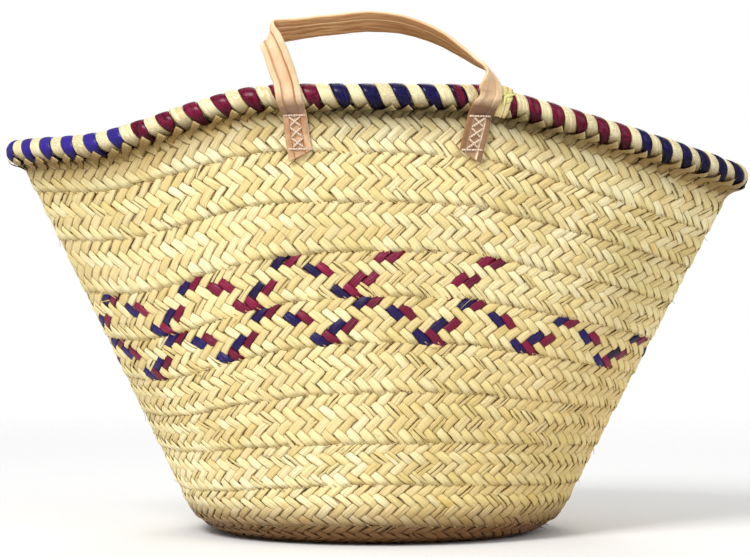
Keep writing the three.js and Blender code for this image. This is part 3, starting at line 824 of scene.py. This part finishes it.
for name, node, from_turn, to_turn in (
    ("base_sewing_cord", "base_seam_cord", 1.6, 6.0),
    ("wall_sewing_cord", "wall_seam_cord", 6.0, 14.3),
):
    start, end = column_at(from_turn), column_at(to_turn)
    count = int((end - start) / stitch_columns * steps_per_stitch)
    phase = np.arange(count) / steps_per_stitch
    turn = np.interp(start + phase * stitch_columns, columns, turns)
    way = seam_way(turn) + stitch_sway * np.sin(2 * math.pi * phase)
    way = np.minimum(way, wall_end + cord_past_end)
    out = surface_normal(turn, way) * (stitch_depth * np.cos(2 * math.pi * phase))[:, None]
    path = surface(turn, way) + out + middle_of_outline
    rings = tube_rings(path, cord_radius * cord_random.uniform(0.85, 1.15, count), cord_sides)
    values = {"run": np.repeat(phase * stitch_run, cord_sides)}
    piece = tube_piece(name, [rings], seam_cord, "cord", values)
    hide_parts(node)
    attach(piece, "basket")

# The rim's bundle: a handful of split leaves, laid along the mouth and twisted a little, which
# the strips hold together.

bundle_strands, bundle_radius, bundle_twists = 8, 3.4, 9
bundle_strand_radius, bundle_steps, strand_sides, middle_strand_offset = 1.9, 240, 6, 0.01


def rim_axes(length):
    share = length / rim_length
    along = unit(rim_centre(share + 1e-4) - rim_centre(share - 1e-4))
    up = unit(np.array([0, 0, 1.0]) - along * along[..., 2:3])
    return rim_centre(share), up, -np.cross(along, up)


def round_rim(length, radius, angle):
    """A place round the rim: along it, from its centre line, and an angle from up to outwards."""
    centre, up, outward = rim_axes(np.asarray(length, float))
    radius, angle = np.asarray(radius)[..., None], np.asarray(angle)[..., None]
    return centre + (up * np.cos(angle) + outward * np.sin(angle)) * radius + middle_of_outline


bundle_leaf = Finish("bundled_leaf", Roughness=0.6)
(bundle_tone,) = bundle_leaf.attributes("leaf", "tone")
bundle_fibre = bundle_leaf.noise(bundle_leaf.place(), 900.0)
bundle_tint = leaf_colour(bundle_leaf, bundle_tone * 0.6 + bundle_fibre * 0.3)
bundle_leaf.use(
    Base_Color=bundle_leaf.mix(0.45, bundle_tint, (122, 98, 50)),
    Roughness=0.5 + bundle_fibre * 0.3,
    Normal=bundle_leaf.bump(bundle_fibre, 0.0003),
)

# the strands lie round one in the middle, and each is a ring with no ends
lengths = np.linspace(0, rim_length, bundle_steps, endpoint=False)
spin = np.linspace(0, 2 * math.pi, strand_sides, endpoint=False)[:, None]
_, up, outward = rim_axes(lengths)
spoke = (up[:, None] * np.cos(spin) + outward[:, None] * np.sin(spin)) * bundle_strand_radius
strand_size = bundle_steps * strand_sides
strand_faces = face_rings(bundle_steps + 1, strand_sides) % strand_size
points, faces, tones = [], [], []
for strand in range(bundle_strands + 1):
    winding = 2 * math.pi * (strand / bundle_strands + bundle_twists * lengths / rim_length)
    offset = bundle_radius if strand < bundle_strands else middle_strand_offset
    core = round_rim(lengths, offset, winding)
    points.append((core[:, None] + spoke).reshape(-1, 3))
    faces += [list(face) for face in strand_faces + strand * strand_size]
    tones += [0.2 + 0.6 * ((strand * 5) % 9) / 9] * strand_size
piece = new_piece(
    "rim_leaf_bundle", np.concatenate(points), faces, bundle_leaf.material, "leaf", {"tone": tones}
)
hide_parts("rim_core")
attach(piece, "basket")

# The rim's strips: flat strips of leaf, glossy, wound side by side over the bundle and the braid's
# edge. Plain strips and dyed ones take turns, and the dyed ones change from purple to magenta.

binding_start = 234
binding_runs = (
    ("purple", 11, 19.5), ("magenta", 8, 18.4), ("purple", 4, 21.5), ("magenta", 7, 21.9),
    ("purple", 8, 22.6), ("magenta", 9, 21.4), ("purple", 6, 21.4), ("magenta", 9, 21.0),
)  # fmt: skip
strip_inner, strip_gap, steps_per_loop, run_per_step = 7.3, 0.1, 26, 2.2
# what a strip stops short of its last turn, in turns, and where it goes down into the braid
strip_end_gap, low_angle = 0.01, math.radians(150)
strip_profile = np.array(
    [(-1, 0.95), (-0.88, 1.6), (-0.4, 1.9), (0.1, 2.0), (0.55, 1.9), (0.9, 1.6), (1, 0.95),
     (0.5, 0.15), (-0.5, 0.15)]
)  # fmt: skip
rim_loops = sum(loops for _, loops, _ in binding_runs)
rim_stretch = rim_length / sum(loops * pitch for _, loops, pitch in binding_runs)
loop_ends, length_ends = [0], [binding_start]
for _, loops, pitch in binding_runs:
    loop_ends.append(loop_ends[-1] + loops)
    length_ends.append(length_ends[-1] + loops * pitch * rim_stretch)
strip_random = np.random.default_rng(23)
loop_shift = strip_random.normal(0, 0.35, rim_loops + 2)
loop_width = strip_random.uniform(-0.06, 0.05, rim_loops + 2)


def wound_to(turn):
    rounds = np.floor(turn / rim_loops)
    return np.interp(turn - rounds * rim_loops, loop_ends, length_ends) + rounds * rim_length


def strip_finish(colour, tints, fibre_tint, edge_tint):
    is_dyed = colour != "cream"
    shine = 0.08 if is_dyed else 0.4
    finish = Finish(f"{colour}_strip", Specular_IOR_Level=shine, Coat_Roughness=0.2)
    run, across, tone, doubled, low = finish.attributes(
        "leaf", "run", "across", "tone", "doubled", "low"
    )
    fibre = finish.streaks(run * 0.05, across * 20, tone * 61, 3.0, 0.6)
    streak = finish.streaks(run * 0.02, across * 5, tone * 43, 2.0)
    worn = finish.noise(finish.place(), 220.0, 3.0, 0.6)
    aside = (2 * across - 1).abs()
    layers = [
        (streak.step(0.42, 0.6) * 0.7, tints[2]),
        (fibre.step(0.5, 0.7) * worn.step(0.35, 0.6) * 0.65, fibre_tint),
        (aside.step(0.5, 0.6) * doubled, (10, 6, 40)),
        (aside.step(0.84, 1.0) * 0.6, edge_tint),
    ]
    if colour == "purple":
        # brighter towards the left end of the mouth
        leftwards = -finish.axes(finish.place())[0]
        layers.append((leftwards.step(0.1, 0.24) * 0.75, (58, 42, 150)))
    # painted shade, darker on the strip's lower, outer side, where it turns down away from the light
    layers.append((low * 0.95, (112, 96, 84) if is_dyed else (158, 140, 118), "MULTIPLY"))
    finish.use(
        Base_Color=finish.layered(finish.mix(tone.clamped(), tints[0], tints[1]), *layers),
        Roughness=0.2 + fibre * 0.3,
        Normal=finish.bump(fibre * 0.8 + streak.step(0.4, 0.6), 0.0005, 0.8),
    )
    if is_dyed:
        finish.use(Coat_Weight=0.26 - low * 0.24)
    return finish.material


strip_finishes = {
    colour: strip_finish(colour, *tints)
    for colour, *tints in (
        ("cream", ((232, 219, 172), (208, 190, 136), (240, 232, 192)), (196, 168, 100), (168, 128, 60)),
        ("purple", ((12, 7, 50), (24, 15, 80), (7, 4, 28)), (70, 60, 140), (14, 6, 40)),
        ("magenta", ((94, 4, 34), (62, 2, 21), (124, 13, 54)), (170, 60, 98), (66, 4, 26)),
    )
}


def wind_strip(colour, number, first_turn, loops):
    """A strip wound round the rim. A dyed one laps over the plain ones at its sides."""
    is_cream = colour == "cream"
    lap, lift, waves = (0, 0, 0.4) if is_cream else (0.35, 0.22, 0.15)
    # a dyed strip is drawn to a point where it goes down into the braid, over the plain one
    low_widening, low_lift = (0.12, -0.5) if is_cream else (-0.3, 0.9)
    steps = loops * steps_per_loop
    turn = first_turn + np.linspace(strip_end_gap, loops - strip_end_gap, steps + 1)
    here = wound_to(turn)
    ahead = wound_to(turn + 1) - here
    behind = here - wound_to(turn - 1)
    middle = here + ahead / 2 if is_cream else here
    room = ahead / 2 if is_cream else np.minimum(ahead, behind) / 2
    # loop by loop a strip is a little wider or narrower, and moved aside
    loop = np.mod(turn + (0.5 if is_cream else 0), rim_loops)
    shift, wider = (
        np.interp(loop, np.arange(rim_loops + 2), uneven) for uneven in (loop_shift, loop_width)
    )
    half = room / 2 * (1 + wider) + lap - strip_gap / 2
    angle = -math.pi / 2 - 2 * math.pi * turn
    low_side = smooth(np.cos(angle - low_angle) * 2 - 1)
    half = half * (1 + low_widening * low_side)
    bulge = waves * np.sin(3.1 * turn + first_turn)
    bulge = bulge + strip_random.normal(0, 0.05, steps + 1)
    bulge = bulge + low_lift * low_side + lift
    w, rise = strip_profile[:, 0], strip_profile[:, 1]
    length = (middle + shift)[:, None] + half[:, None] * w
    radius = strip_inner + rise + bulge[:, None] * (rise > 0.5)
    rings = round_rim(length, radius, angle[:, None] + 0 * length)
    tone = np.repeat(strip_random.uniform(0, 1, loops * 2 + 2), steps_per_loop // 2 + 1)[: steps + 1]
    tone = np.convolve(np.pad(tone, 4, mode="edge"), np.ones(9) / 9, mode="valid")
    # the last loop of the first magenta run lies on a purple one, which shows on both sides of it
    is_doubled = (colour, number) == ("magenta", 1)
    doubled = smooth(turn - first_turn - loops + 1.3) if is_doubled else 0 * turn
    size = len(strip_profile)
    values = {
        "run": np.repeat(np.arange(steps + 1) * run_per_step, size),
        "across": np.tile((w + 1) / 2, steps + 1),
        "tone": np.repeat(tone, size),
        "doubled": np.repeat(doubled, size),
        # the share of painted shade on the strip's lower, outer side, by its angle from up
        "low": np.repeat(smooth(0.1 - 0.9 * np.cos(angle)), size),
    }
    name, node = f"{colour}_rim_strip_{number}", f"{colour}_binding_{number}"
    piece = tube_piece(name, [rings], strip_finishes[colour], "leaf", values)
    lay_out_rings(piece, size)
    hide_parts(node)
    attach(piece, "basket")


made = {"purple": 0, "magenta": 0}
run_start = 0
for number, (colour, loops, _) in enumerate(binding_runs, 1):
    made[colour] += 1
    wind_strip(colour, made[colour], run_start, loops)
    wind_strip("cream", number, run_start, loops)
    run_start += loops

# Loose leaf. The tips of the braid's last folds stand over the lower ends of the strips. Beside the
# front handle's right end a fresh green leaf is knotted round the rim. Thin slivers have come away
# along the seams.

tip_spacing, tip_width = 14.4, 7.6
sliver_count = 150
knot_length, knot_angle = 555.6, math.radians(78)
loose_random = np.random.default_rng(31)
loose_tubes, loose_values = [], {key: [] for key in leaf_keys}
section = np.array([(-1, 0), (-0.5, 0.5), (0.5, 0.5), (1, 0), (0.5, -0.5), (-0.5, -0.5)])


def loose_leaf(path, face, width, thickness, tone, rim=0, dye=0, up=1):
    """One free leaf along a path; face points out of its upper side at every point."""
    side = unit(np.cross(np.gradient(path, axis=0), unit(face)))
    width = np.broadcast_to(width, len(path))[:, None, None]
    rings = path[:, None] + side[:, None] * section[:, :1] * width / 2
    loose_tubes.append(rings + unit(face)[:, None] * section[:, 1:] * thickness)
    run = np.linalg.norm(np.diff(path, axis=0), axis=1).cumsum()
    values = {
        "run": np.concatenate([[0], run])[:, None] + loose_random.uniform(0, 4000),
        "across": section[:, 0] / 2 + 0.5,
        "tone": tone,
        "dye": dye,
        "depth": 0.9,
        "up": up,
        "rim": np.reshape(rim, (-1, 1)),
    }
    for key, value in values.items():
        loose_values[key].append(np.broadcast_to(value, (len(path), leaf_sides)).ravel())


for k in range(int(rim_length / tip_spacing)):
    start = (k + loose_random.uniform(-0.16, 0.16)) * tip_spacing
    slant = loose_random.uniform(0.85, 1.15)
    length = start - np.array([0, 4, 7.5, 10.5, 12.5, 13.4]) * slant
    share = length[:2] / rim_length
    way = np.array([wall_end - 7, wall_end - 2.5])
    normal = surface_normal(share, way)
    low = surface(share, way) + normal * np.array([[0.4], [1.8]]) + middle_of_outline
    highest = loose_random.uniform(133, 147)
    turned = np.radians([168, (168 + highest) / 2, highest + 3, highest])
    high = round_rim(length[2:], np.array([10.9, 11, 10.8, 10.2]), turned)
    face = np.concatenate([normal, high - round_rim(length[2:], 0.0, turned)])
    tone = loose_random.uniform(0.1, 0.7)
    width = tip_width * loose_random.uniform(0.8, 1.1)
    # the tips take the painted shade under the rim, less towards their free ends
    loose_leaf(np.concatenate([low, high]), face, width, 0.6, tone, [1, 1, 1, 0.95, 0.8, 0.35])

for _ in range(sliver_count):
    turn = loose_random.uniform(5.2, 13.6)
    way = seam_way(turn) + loose_random.normal(0, 4)
    t = np.linspace(0, 1, 6)
    size, slope = loose_random.uniform(5, 15), loose_random.uniform(-0.8, 0.8)
    turn = turn + size * t / rim_length * math.cos(slope)
    way = np.minimum(way + size * t * math.sin(slope), wall_end - 3)
    lift = loose_random.uniform(1.5, 4.5) * t**2 + 1.4
    normal = surface_normal(turn, way)
    path = surface(turn, way) + normal * lift[:, None] + middle_of_outline
    width = loose_random.uniform(0.5, 1.3) * (1 - 0.8 * t)
    loose_leaf(path, normal, width, 0.35, loose_random.uniform(0, 1))


def knotted_leaf(length, reach, turned, width, thickness, dye=3):
    path = round_rim(length, reach, turned)
    face = path - round_rim(length, 0.0, turned)
    loose_leaf(path, face, width, thickness, 0.9, dye=dye, up=0)


# the knot: a leaf wound twice round the rim, drawn into a lump, with two short ends
for drift, reach in ((-4.0, 11.2), (-0.5, 11.7)):
    turned = np.radians(np.linspace(-150, 200, 22))
    knotted_leaf(knot_length + drift + 1.5 * np.sin(turned), reach + 0 * turned, turned, 6.5, 0.7, 0)
for size in (3.2, 2.2):
    angle = np.linspace(0, 1.9 * math.pi, 14)
    turned = knot_angle - size * 1.15 * np.sin(angle) / 13
    reach = 12.8 + 0.8 * np.sin(2 * angle)
    knotted_leaf(knot_length - 1 + size * np.cos(angle), reach, turned, 3.4, 1.3)
for away, degrees in ((-7, 66), (0, 108)):
    t = np.linspace(0, 1, 6)
    turned = knot_angle + (math.radians(degrees) - knot_angle) * t
    knotted_leaf(knot_length + away * t, 13.6 + 1.6 * t, turned, 3.2 * (1 - 0.6 * t), 0.7)

values = {key: np.concatenate(parts) for key, parts in loose_values.items()}
piece = tube_piece("loose_leaf_tips", loose_tubes, braid_leaf.material, "leaf", values)
lay_out_rings(piece, leaf_sides)
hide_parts("wall_braid")
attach(piece, "basket")

# The handles: straps of soft leather, folded so that the raw edges meet on the outer face, with a
# paler strip between them. Each end is sewn flat to the wall. The front handle stands, the back one
# hangs outside.

handle_spacing, handle_offset, strap_width, strap_thickness = 136, 7.5, 19, 3.2
tab_width, tab_length, tab_top_drop = 18, 31, 2.2
tab_leans, tab_skews = (4.8, -7.8), (5.8, -5.5)
strap_clearance = 0.3
knee_height, fold_height = -3, 10.4
knee_leans, riser_leans = (-3.5, 5), (-6, 7)
back_handle_bends = (math.radians(110), math.radians(62))
half_strap, half_width, half_tab = strap_thickness / 2, strap_width / 2, tab_width / 2
knee_face_y = -(rim_radius + strap_clearance)
strap_y = knee_face_y - half_strap
knee_line = np.array([0, knee_face_y - strap_thickness, knee_height])
fold_line = np.array([0, strap_y, fold_height])
join_height = 4.0
loop_route = (
    ((-78.8, -11.4, 24), (0.96, -0.25, 0.14)),
    ((-82.8, -10.8, 35), (0.82, -0.4, 0.4)),
    ((-85.8, -6, 43), (0.45, -0.2, 0.88)),
    ((-83.5, 0, 46.6), (0.15, -0.34, 0.92)),
    ((-76.5, 3.8, 48.4), (0.02, -0.55, 0.84)),
    ((-66.5, 5, 50), (0, -0.68, 0.73)),
    ((-41.5, 5.2, 53), (-0.03, -0.74, 0.67)),
    ((-9.5, 5.2, 55.6), (0.03, -0.74, 0.67)),
    ((16.5, 4.6, 52), (0.18, -0.84, 0.52)),
    ((38.5, 2, 43.2), (0.2, -0.93, 0.32)),
    ((54.5, -2.6, 32.8), (0.1, -0.98, 0.14)),
    ((64.6, -8, 25), (0, -1, 0.06)),
    ((71.2, -11.2, 20.2), (-0.1, -0.99, 0)),
    ((74.2, -11.6, 15.6), (-0.32, -0.95, 0)),
)
# across and out from the strap's middle, round its section: the outer face has two folded flaps
# with a step down between them, the inner face a raised line
strap_section = np.array(
    [(-9.5, -0.1), (-9.35, 0.75), (-8.8, 1.3), (-7.6, 1.55), (-5.6, 1.65), (-4.7, 1.6), (-4.45, 1.3),
     (-4.35, 0.85), (-3.6, 0.8), (0, 0.9), (3.6, 0.8), (4.35, 0.85), (4.45, 1.3), (4.7, 1.6),
     (5.6, 1.65), (7.6, 1.55), (8.8, 1.3), (9.35, 0.75), (9.5, -0.1), (9.3, -0.85), (8.6, -1.35),
     (7.0, -1.5), (3.7, -1.5), (3.3, -1.68), (3.0, -1.68), (2.6, -1.5), (0, -1.55), (-2.8, -1.55),
     (-7.0, -1.5), (-8.6, -1.35), (-9.3, -0.85)]
)  # fmt: skip

handle_angle = math.asin(handle_offset / side_radius)
foot_angle = math.asin(handle_spacing / 2 / side_radius)
feet_shares = [
    front_share - side_radius * (handle_angle + side * foot_angle) / rim_length for side in (-1, 1)
]
strap_reach = math.sqrt(side_radius**2 - ((handle_spacing - strap_width) / 2) ** 2)
front_frame = Matrix.Translation(
    (
        strap_reach * math.sin(handle_angle),
        side_radius - half_depth - strap_reach * math.cos(handle_angle),
        crest_height,
    )
) @ Matrix.Rotation(handle_angle, 4, "Z")
handle_frames = {"front": front_frame, "back": Matrix.Rotation(math.pi, 4, "Z") @ front_frame}
outline_shift = Matrix.Translation(middle_of_outline)


def tab_seat(side, foot):
    """Where a sewn end lies on the wall, in the handle's frame: x right, y up the wall, z out."""
    share = feet_shares[foot] + (front_share if side == "back" else 0)
    middle_share = share - tab_leans[foot] / 2 / rim_length
    way = wall_end - tab_top_drop - tab_length / 2
    out = surface_normal(middle_share, way)
    middle = surface(middle_share, way) + out * (braid_thickness / 2 + strap_clearance)
    top = surface(share, wall_end - tab_top_drop)
    top = top + out * np.dot(middle - top, out)
    right = unit(np.cross([0, 0, 1.0], out))
    seat = Matrix.Identity(4)
    for column, axis in enumerate((right, np.cross(out, right), out, top)):
        for row in range(3):
            seat[row][column] = axis[row]
    return handle_frames[side].inverted() @ seat


def riser_x(foot, z):
    rise = (z - knee_height) / (fold_height - knee_height)
    side = (-1, 1)[foot] * handle_spacing / 2
    return side + knee_leans[foot] + (riser_leans[foot] - knee_leans[foot]) * rise


# The right side is twisted where it comes over the rim. By height: how far its width is turned
# from level to straight back, how far it stands off the rim and to the side, and its width.
twist_heights = (knee_height, 0, join_height, join_height + 1.5, fold_height - 2, fold_height)
twist_turns = (0, 0.1, 0.3, 0.45, 0.8, 1.15)
twist_offs = (0, 0.3, 1.2, 1.9, 2.2, 1.6)
twist_asides = (0.9, 1.3, 0.7, 0.3, 0, 0)
twist_widths = (17.2, 16.8, 17.6, 18.4, 19, 19)


def riser_ring(foot, z):
    """The strap's place, width direction and width at a height between its two bends."""
    if foot == 0:
        return [riser_x(0, z), strap_y, z], np.array([1.0, 0, 0]), strap_width
    rows = twist_turns, twist_offs, twist_asides, twist_widths
    turn, off, aside, width = (np.interp(z, twist_heights, row) for row in rows)
    place = [riser_x(1, z) + aside, strap_y - off, z]
    return place, unit(np.array([1, turn, 0])), width


def smooth_route(knots, step=1.6):
    """Points on a curve through the knots, spaced evenly; each row also carries its directions."""
    knots = np.asarray(knots, float)
    ends = np.vstack([2 * knots[0] - knots[1], knots, 2 * knots[-1] - knots[-2]])
    found = []
    for k in range(1, len(ends) - 2):
        a, b, c, d = ends[k - 1 : k + 3]
        gaps = [max(np.linalg.norm(q[:3] - p[:3]), 1e-6) ** 0.5 for p, q in ((a, b), (b, c), (c, d))]
        t1, t2, t3 = np.cumsum(gaps)
        count = max(2, round(np.linalg.norm(c[:3] - b[:3]) / step))
        for t in np.linspace(t1, t2, count, endpoint=k == len(ends) - 3):
            p = a * (t1 - t) / t1 + b * t / t1
            q = b * (t2 - t) / (t2 - t1) + c * (t - t1) / (t2 - t1)
            r = c * (t3 - t) / (t3 - t2) + d * (t - t2) / (t3 - t2)
            p = p * (t2 - t) / t2 + q * t / t2
            q = q * (t3 - t) / (t3 - t1) + r * (t - t1) / (t3 - t1)
            found.append(p * (t2 - t) / (t2 - t1) + q * (t - t1) / (t2 - t1))
    return np.array(found)


def hung(points, knee_share, fold_share, side):
    """Points of the standing handle, as they are stored: each has its own share of both bends."""
    knee, fold = back_handle_bends if side == "back" else (0, 0)
    moved = np.array(points, float)
    for line, angle in ((fold_line, fold * fold_share), (knee_line, knee * knee_share)):
        y, z = moved[..., 1] - line[1], moved[..., 2] - line[2]
        moved[..., 1] = y * np.cos(angle) - z * np.sin(angle) + line[1]
        moved[..., 2] = y * np.sin(angle) + z * np.cos(angle) + line[2]
    return moved


def carried(frame, points):
    """Points that are given in a frame, in the one that holds it."""
    return np.asarray(points) @ frame[:3, :3].T + frame[:3, 3]


leather = Finish("strap_leather", Roughness=0.55, Specular_IOR_Level=0.4)
across, face, run, sewn, dusk = leather.attributes("strap", "across", "face", "run", "sewn", "dusk")
strap_place = leather.place()
x_place, y_place, _ = leather.axes(strap_place)
grain = leather.node(
    "ShaderNodeTexVoronoi", {"feature": "DISTANCE_TO_EDGE"}, {"Vector": strap_place, "Scale": 900.0}
)
mottle = leather.noise(strap_place, 60.0, 4.0, 0.6)
cloud = leather.noise(strap_place, 18.0)
wrinkle = leather.streaks(run * 0.5, across * 1.3, run * 0.02, 3.0, 0.6)
streak = leather.streaks(run * 0.03, across * 5, face, 4.0, 0.65)
# a darker brown patch inside, 35 mm right of the handle's middle, and a pale raised line with a dark one
# beside it
inner_dark_patch = 1 - (x_place * (y_place.step(-0.01, 0.01) * -2 + 1) - 0.035).abs().step(0.01, 0.07)
raised_line = 1 - (across - 0.32).abs().step(0.02, 0.07)
beside_line = 1 - (across - 0.44).abs().step(0.0, 0.08)
inner = leather.layered(
    leather.mix(streak.step(0.38, 0.62), (222, 172, 120), (170, 118, 72)),
    (inner_dark_patch * 0.5, (150, 100, 54)),
    (across.step(0.3, 0.34) * 0.4, (180, 128, 84)),
    (beside_line * 0.4, (140, 92, 52)),
    (raised_line * 0.85, (244, 208, 156)),
)
# painted shadow above the stitching, where the strap comes down over the rim, most of all on the right,
# where the sewn end is darkened too
right_side = x_place.step(-0.01, 0.02)
sewn_tint_and_shade = leather.mix(mottle.step(0.35, 0.65), (214, 176, 136), (168, 124, 86))
sewn_tint_and_shade = leather.mix(right_side * 0.8, sewn_tint_and_shade, (112, 80, 50))
# the flaps' edge lines: brown on the left, a painted highlight on the right
line_and_highlight_tint = leather.mix(right_side, (170, 104, 50), (250, 228, 194))
shadow_tint = leather.mix(right_side, (146, 110, 88), (102, 70, 52))
centre_strip = 1 - across.abs().step(0.42, 0.47)
# painted soft shade along the flaps' edges
flap_shade = 1 - (across.abs() - 0.44).abs().step(0.0, 0.2)
flap_line = 1 - (across.abs() - 0.46).abs().step(0.03, 0.1)
shadow = (dusk + mottle * 0.5 - 0.25).step(0.15, 0.85)
outer = leather.layered(
    leather.mix(mottle.step(0.3, 0.75), (243, 219, 180), (220, 182, 136)),
    (streak.step(0.5, 0.7) * 0.4, (204, 160, 116)),
    (sewn, sewn_tint_and_shade),
    (centre_strip * 0.35, (222, 180, 140)),
    (flap_shade * 0.5, (190, 134, 84)),
    (flap_line * (0.35 + across.step(0, 0.1) * 0.5), line_and_highlight_tint),
    (shadow * 0.9, shadow_tint),
)
leather.use(
    Base_Color=leather.layered(
        leather.mix(face.step(-0.25, 0.25), inner, outer),
        ((-across).step(0.9, 1.0) * 0.6, (186, 118, 60)),
        (across.step(0.93, 1.0) * 0.7, (244, 216, 172)),
        (cloud.step(0.45, 0.75) * 0.3, (196, 140, 92)),
    ),
    Roughness=0.5 + mottle * 0.2,
    Normal=leather.bump(grain.step(0, 0.12) * 0.5 + wrinkle * 1.6 + mottle, 0.00035, 0.6),
)


# between the second and the third height a strap's width is level, and plain is no darkening
level_heights = (-9, -3, 11, 18)
plain = ([0], [0])


def strap_piece(name, side, knots, nodes, bodies, joint, cut_slope=0, sewn=plain, dusk=plain):
    """A stretch of strap through knots of place, width direction, bend shares and width."""
    route = smooth_route(knots)
    place, across, shares, width = route[:, :3], unit(route[:, 3:6]), route[:, 6:8], route[:, 8]
    along = unit(np.gradient(place, axis=0))
    # square to the strap's run, but level where it comes over the rim, so that no edge doubles back
    squared = np.interp(place[:, 2], level_heights, [1, 0, 0, 1])[:, None]
    across = unit(across - along * np.sum(across * along, axis=1, keepdims=True) * squared)
    outwards = -unit(np.cross(along, across))
    run = np.concatenate([[0], np.cumsum(np.linalg.norm(np.diff(place, axis=0), axis=1))])
    wobble = 0.12 * np.sin(run * 0.21 + len(name)) + 0.08 * np.sin(run * 0.53)
    w, d = strap_section[:, 0], strap_section[:, 1]
    aside = w * (width / strap_width)[:, None] + wobble[:, None]
    rings = place[:, None] + across[:, None] * aside[..., None] + outwards[:, None] * d[:, None]
    # the strap's end is cut off at a slant
    slant = np.clip(1 - run / half_tab, 0, 1)[:, None] * cut_slope * w / half_tab
    rings = rings + along[:, None] * slant[..., None]
    frame = np.array(outline_shift @ handle_frames[side])
    shares = np.clip(shares, 0, 1)
    rings = carried(frame, hung(rings, shares[:, :1], shares[:, 1:], side))
    values = {
        "across": np.tile(w / half_width, len(run)),
        "face": np.tile(np.clip(d, -1, 1), len(run)),
        "run": np.repeat(run, len(w)),
        "sewn": np.repeat(np.interp(run, *sewn), len(w)),
        "dusk": np.repeat(np.interp(run, *dusk), len(w)),
    }
    piece = tube_piece(name, [rings], leather.material, "strap", values)
    piece.data.set_sharp_from_angle(angle=math.radians(70))
    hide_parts(*nodes)
    height, reach = joint
    ends = []
    for z, share in ((height - reach, 0), (height + reach, 1)):
        bends = (share, 0) if bodies[0] == "basket" else (1, share)
        ends.append(carried(frame, hung([0, strap_y, z], *bends, side)) * MM)
    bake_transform(piece, *bodies, start=ends[0], end=ends[1])


knee_reach, fold_reach = 5.0, 4.5
# where the painted shadow lies along the strap, from the top of the sewn end, and how dark it is
shade_places = np.array([-1.5, -0.5, 7.0, 10.0, 17.0])
shade_shares = np.array([0.2, 1.0, 1.0, 0.62, 0.3])
riser_shares = (
    (join_height, 0), (join_height + 1.5, 0), (fold_height - 2, 0.2), (fold_height, 0.5)
)  # fmt: skip
for side in ("front", "back"):
    for foot, end_name in enumerate(("left", "right")):
        seat = np.array(tab_seat(side, foot))
        knots = []
        for share in (1, 0.75, 0.5, 0.25, 0):
            top = carried(seat, [tab_leans[foot] * share, -tab_length * share, half_strap])
            knots.append([*top, *seat[:3, 0], 0, 0, tab_width])
        knee = np.array([riser_x(foot, knee_height), strap_y, knee_height])
        knots.append([*(top + (knee - top) * 0.55), 1, 0, 0, 0, 0, strap_width])
        knots.append([*knee, 1, 0, 0, 0.5, 0, strap_width])
        for z, share in ((knee_height + knee_reach * 0.6, 0.95), (join_height, 1)):
            place, across, width = riser_ring(foot, z)
            knots.append([*place, *across, share, 0, width])
        strap_piece(
            f"{side}_strap_foot_{end_name}",
            side,
            knots,
            (f"{side}_strap_end_{end_name}", f"{side}_strap_riser_{end_name}"),
            ("basket", f"{side}_risers"),
            (knee_height, knee_reach),
            cut_slope=tab_skews[foot] / 2,
            sewn=([tab_length - 2, tab_length + 17], [1, 0]),
            dusk=(tab_length + shade_places, shade_shares * (0.85, 1)[foot]),
        )
    risers = []
    for foot, sign in ((0, 1), (1, -1)):
        for z, share in riser_shares[::sign]:
            place, across, width = riser_ring(foot, z)
            risers.append([*place, *(sign * across), 1, share, width])
    knots = risers[: len(riser_shares)]
    for place, across in loop_route:
        share = min(1, 0.5 + (place[2] - fold_height) / 2 / fold_reach)
        knots.append([*place, *unit(np.array(across, float)), 1, share, strap_width])
    knots += risers[len(riser_shares) :]
    strap_piece(
        f"{side}_hand_loop",
        side,
        knots,
        (f"{side}_strap_loop",),
        (f"{side}_risers", f"{side}_loop"),
        (fold_height, fold_reach),
    )

# The stitching: on each sewn end three crosses of waxed thread between two rows of short stitches,
# each stitch going down through a hole in the leather.

thread_radius, stitch_rise, over_rise = 0.78, 0.55, 0.45
stitch_margin, crosses, cross_width, stitch_row_width, row_stitches = 2.4, 3, 8.3, 15.5, 4
stitch_steps, thread_sides = 9, 6
cross_inset, row_offset, stitch_inset = 0.5, 0.6, 0.3
thread_height, hole_height = strap_thickness - 0.25, strap_thickness - 1.1

stitch_thread = twisted_finish(
    "stitch_thread",
    twists=4.4,
    patches=300.0,
    tints=((240, 224, 200), (222, 194, 164)),
    groove_shade=(188, 152, 130),
    groove_end=0.1,
    relief=0.0002,
    Roughness=0.6,
    Sheen_Weight=0.2,
)

for side in ("front", "back"):
    for foot, end_name in enumerate(("left", "right")):
        seat = np.array(outline_shift @ handle_frames[side] @ tab_seat(side, foot))
        last = tab_length - abs(tab_skews[foot]) / 2 - stitch_margin
        step = (last - stitch_margin) / crosses
        stitches = []
        for k in range(crosses):
            top = stitch_margin + k * step
            for over, cross_side in enumerate((-cross_width / 2, cross_width / 2)):
                start, end = top + cross_inset, top + step - cross_inset
                stitches.append(((cross_side, start), (-cross_side, end), over))
        for drop in (stitch_margin - row_offset, last + row_offset):
            for k in range(row_stitches):
                x = -stitch_row_width / 2 + k * stitch_row_width / row_stitches
                end = x + stitch_row_width / row_stitches
                stitches.append(((x + stitch_inset, drop), (end - stitch_inset, drop), 0))
        tubes, runs = [], []
        for (x0, drop0), (x1, drop1), over in stitches:
            t = np.linspace(0, 1, stitch_steps)
            drop = drop0 + (drop1 - drop0) * t
            x = x0 + (x1 - x0) * t + tab_leans[foot] / tab_length * drop
            arch = np.sqrt(np.clip(np.sin(math.pi * t), 0, 1))
            rise = thread_height + (stitch_rise + over_rise * over) * arch
            rise = np.where((t == 0) | (t == 1), hole_height, rise)
            path = carried(seat, np.stack([x, -drop, rise], -1))
            tubes.append(tube_rings(path, thread_radius, thread_sides))
            runs.append(np.repeat(t * math.hypot(x1 - x0, drop1 - drop0), thread_sides))
        name, values = f"{side}_stitches_{end_name}", {"run": np.concatenate(runs)}
        piece = tube_piece(name, tubes, stitch_thread, "cord", values)
        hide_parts(f"{side}_stitching_{end_name}")
        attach(piece, "basket")
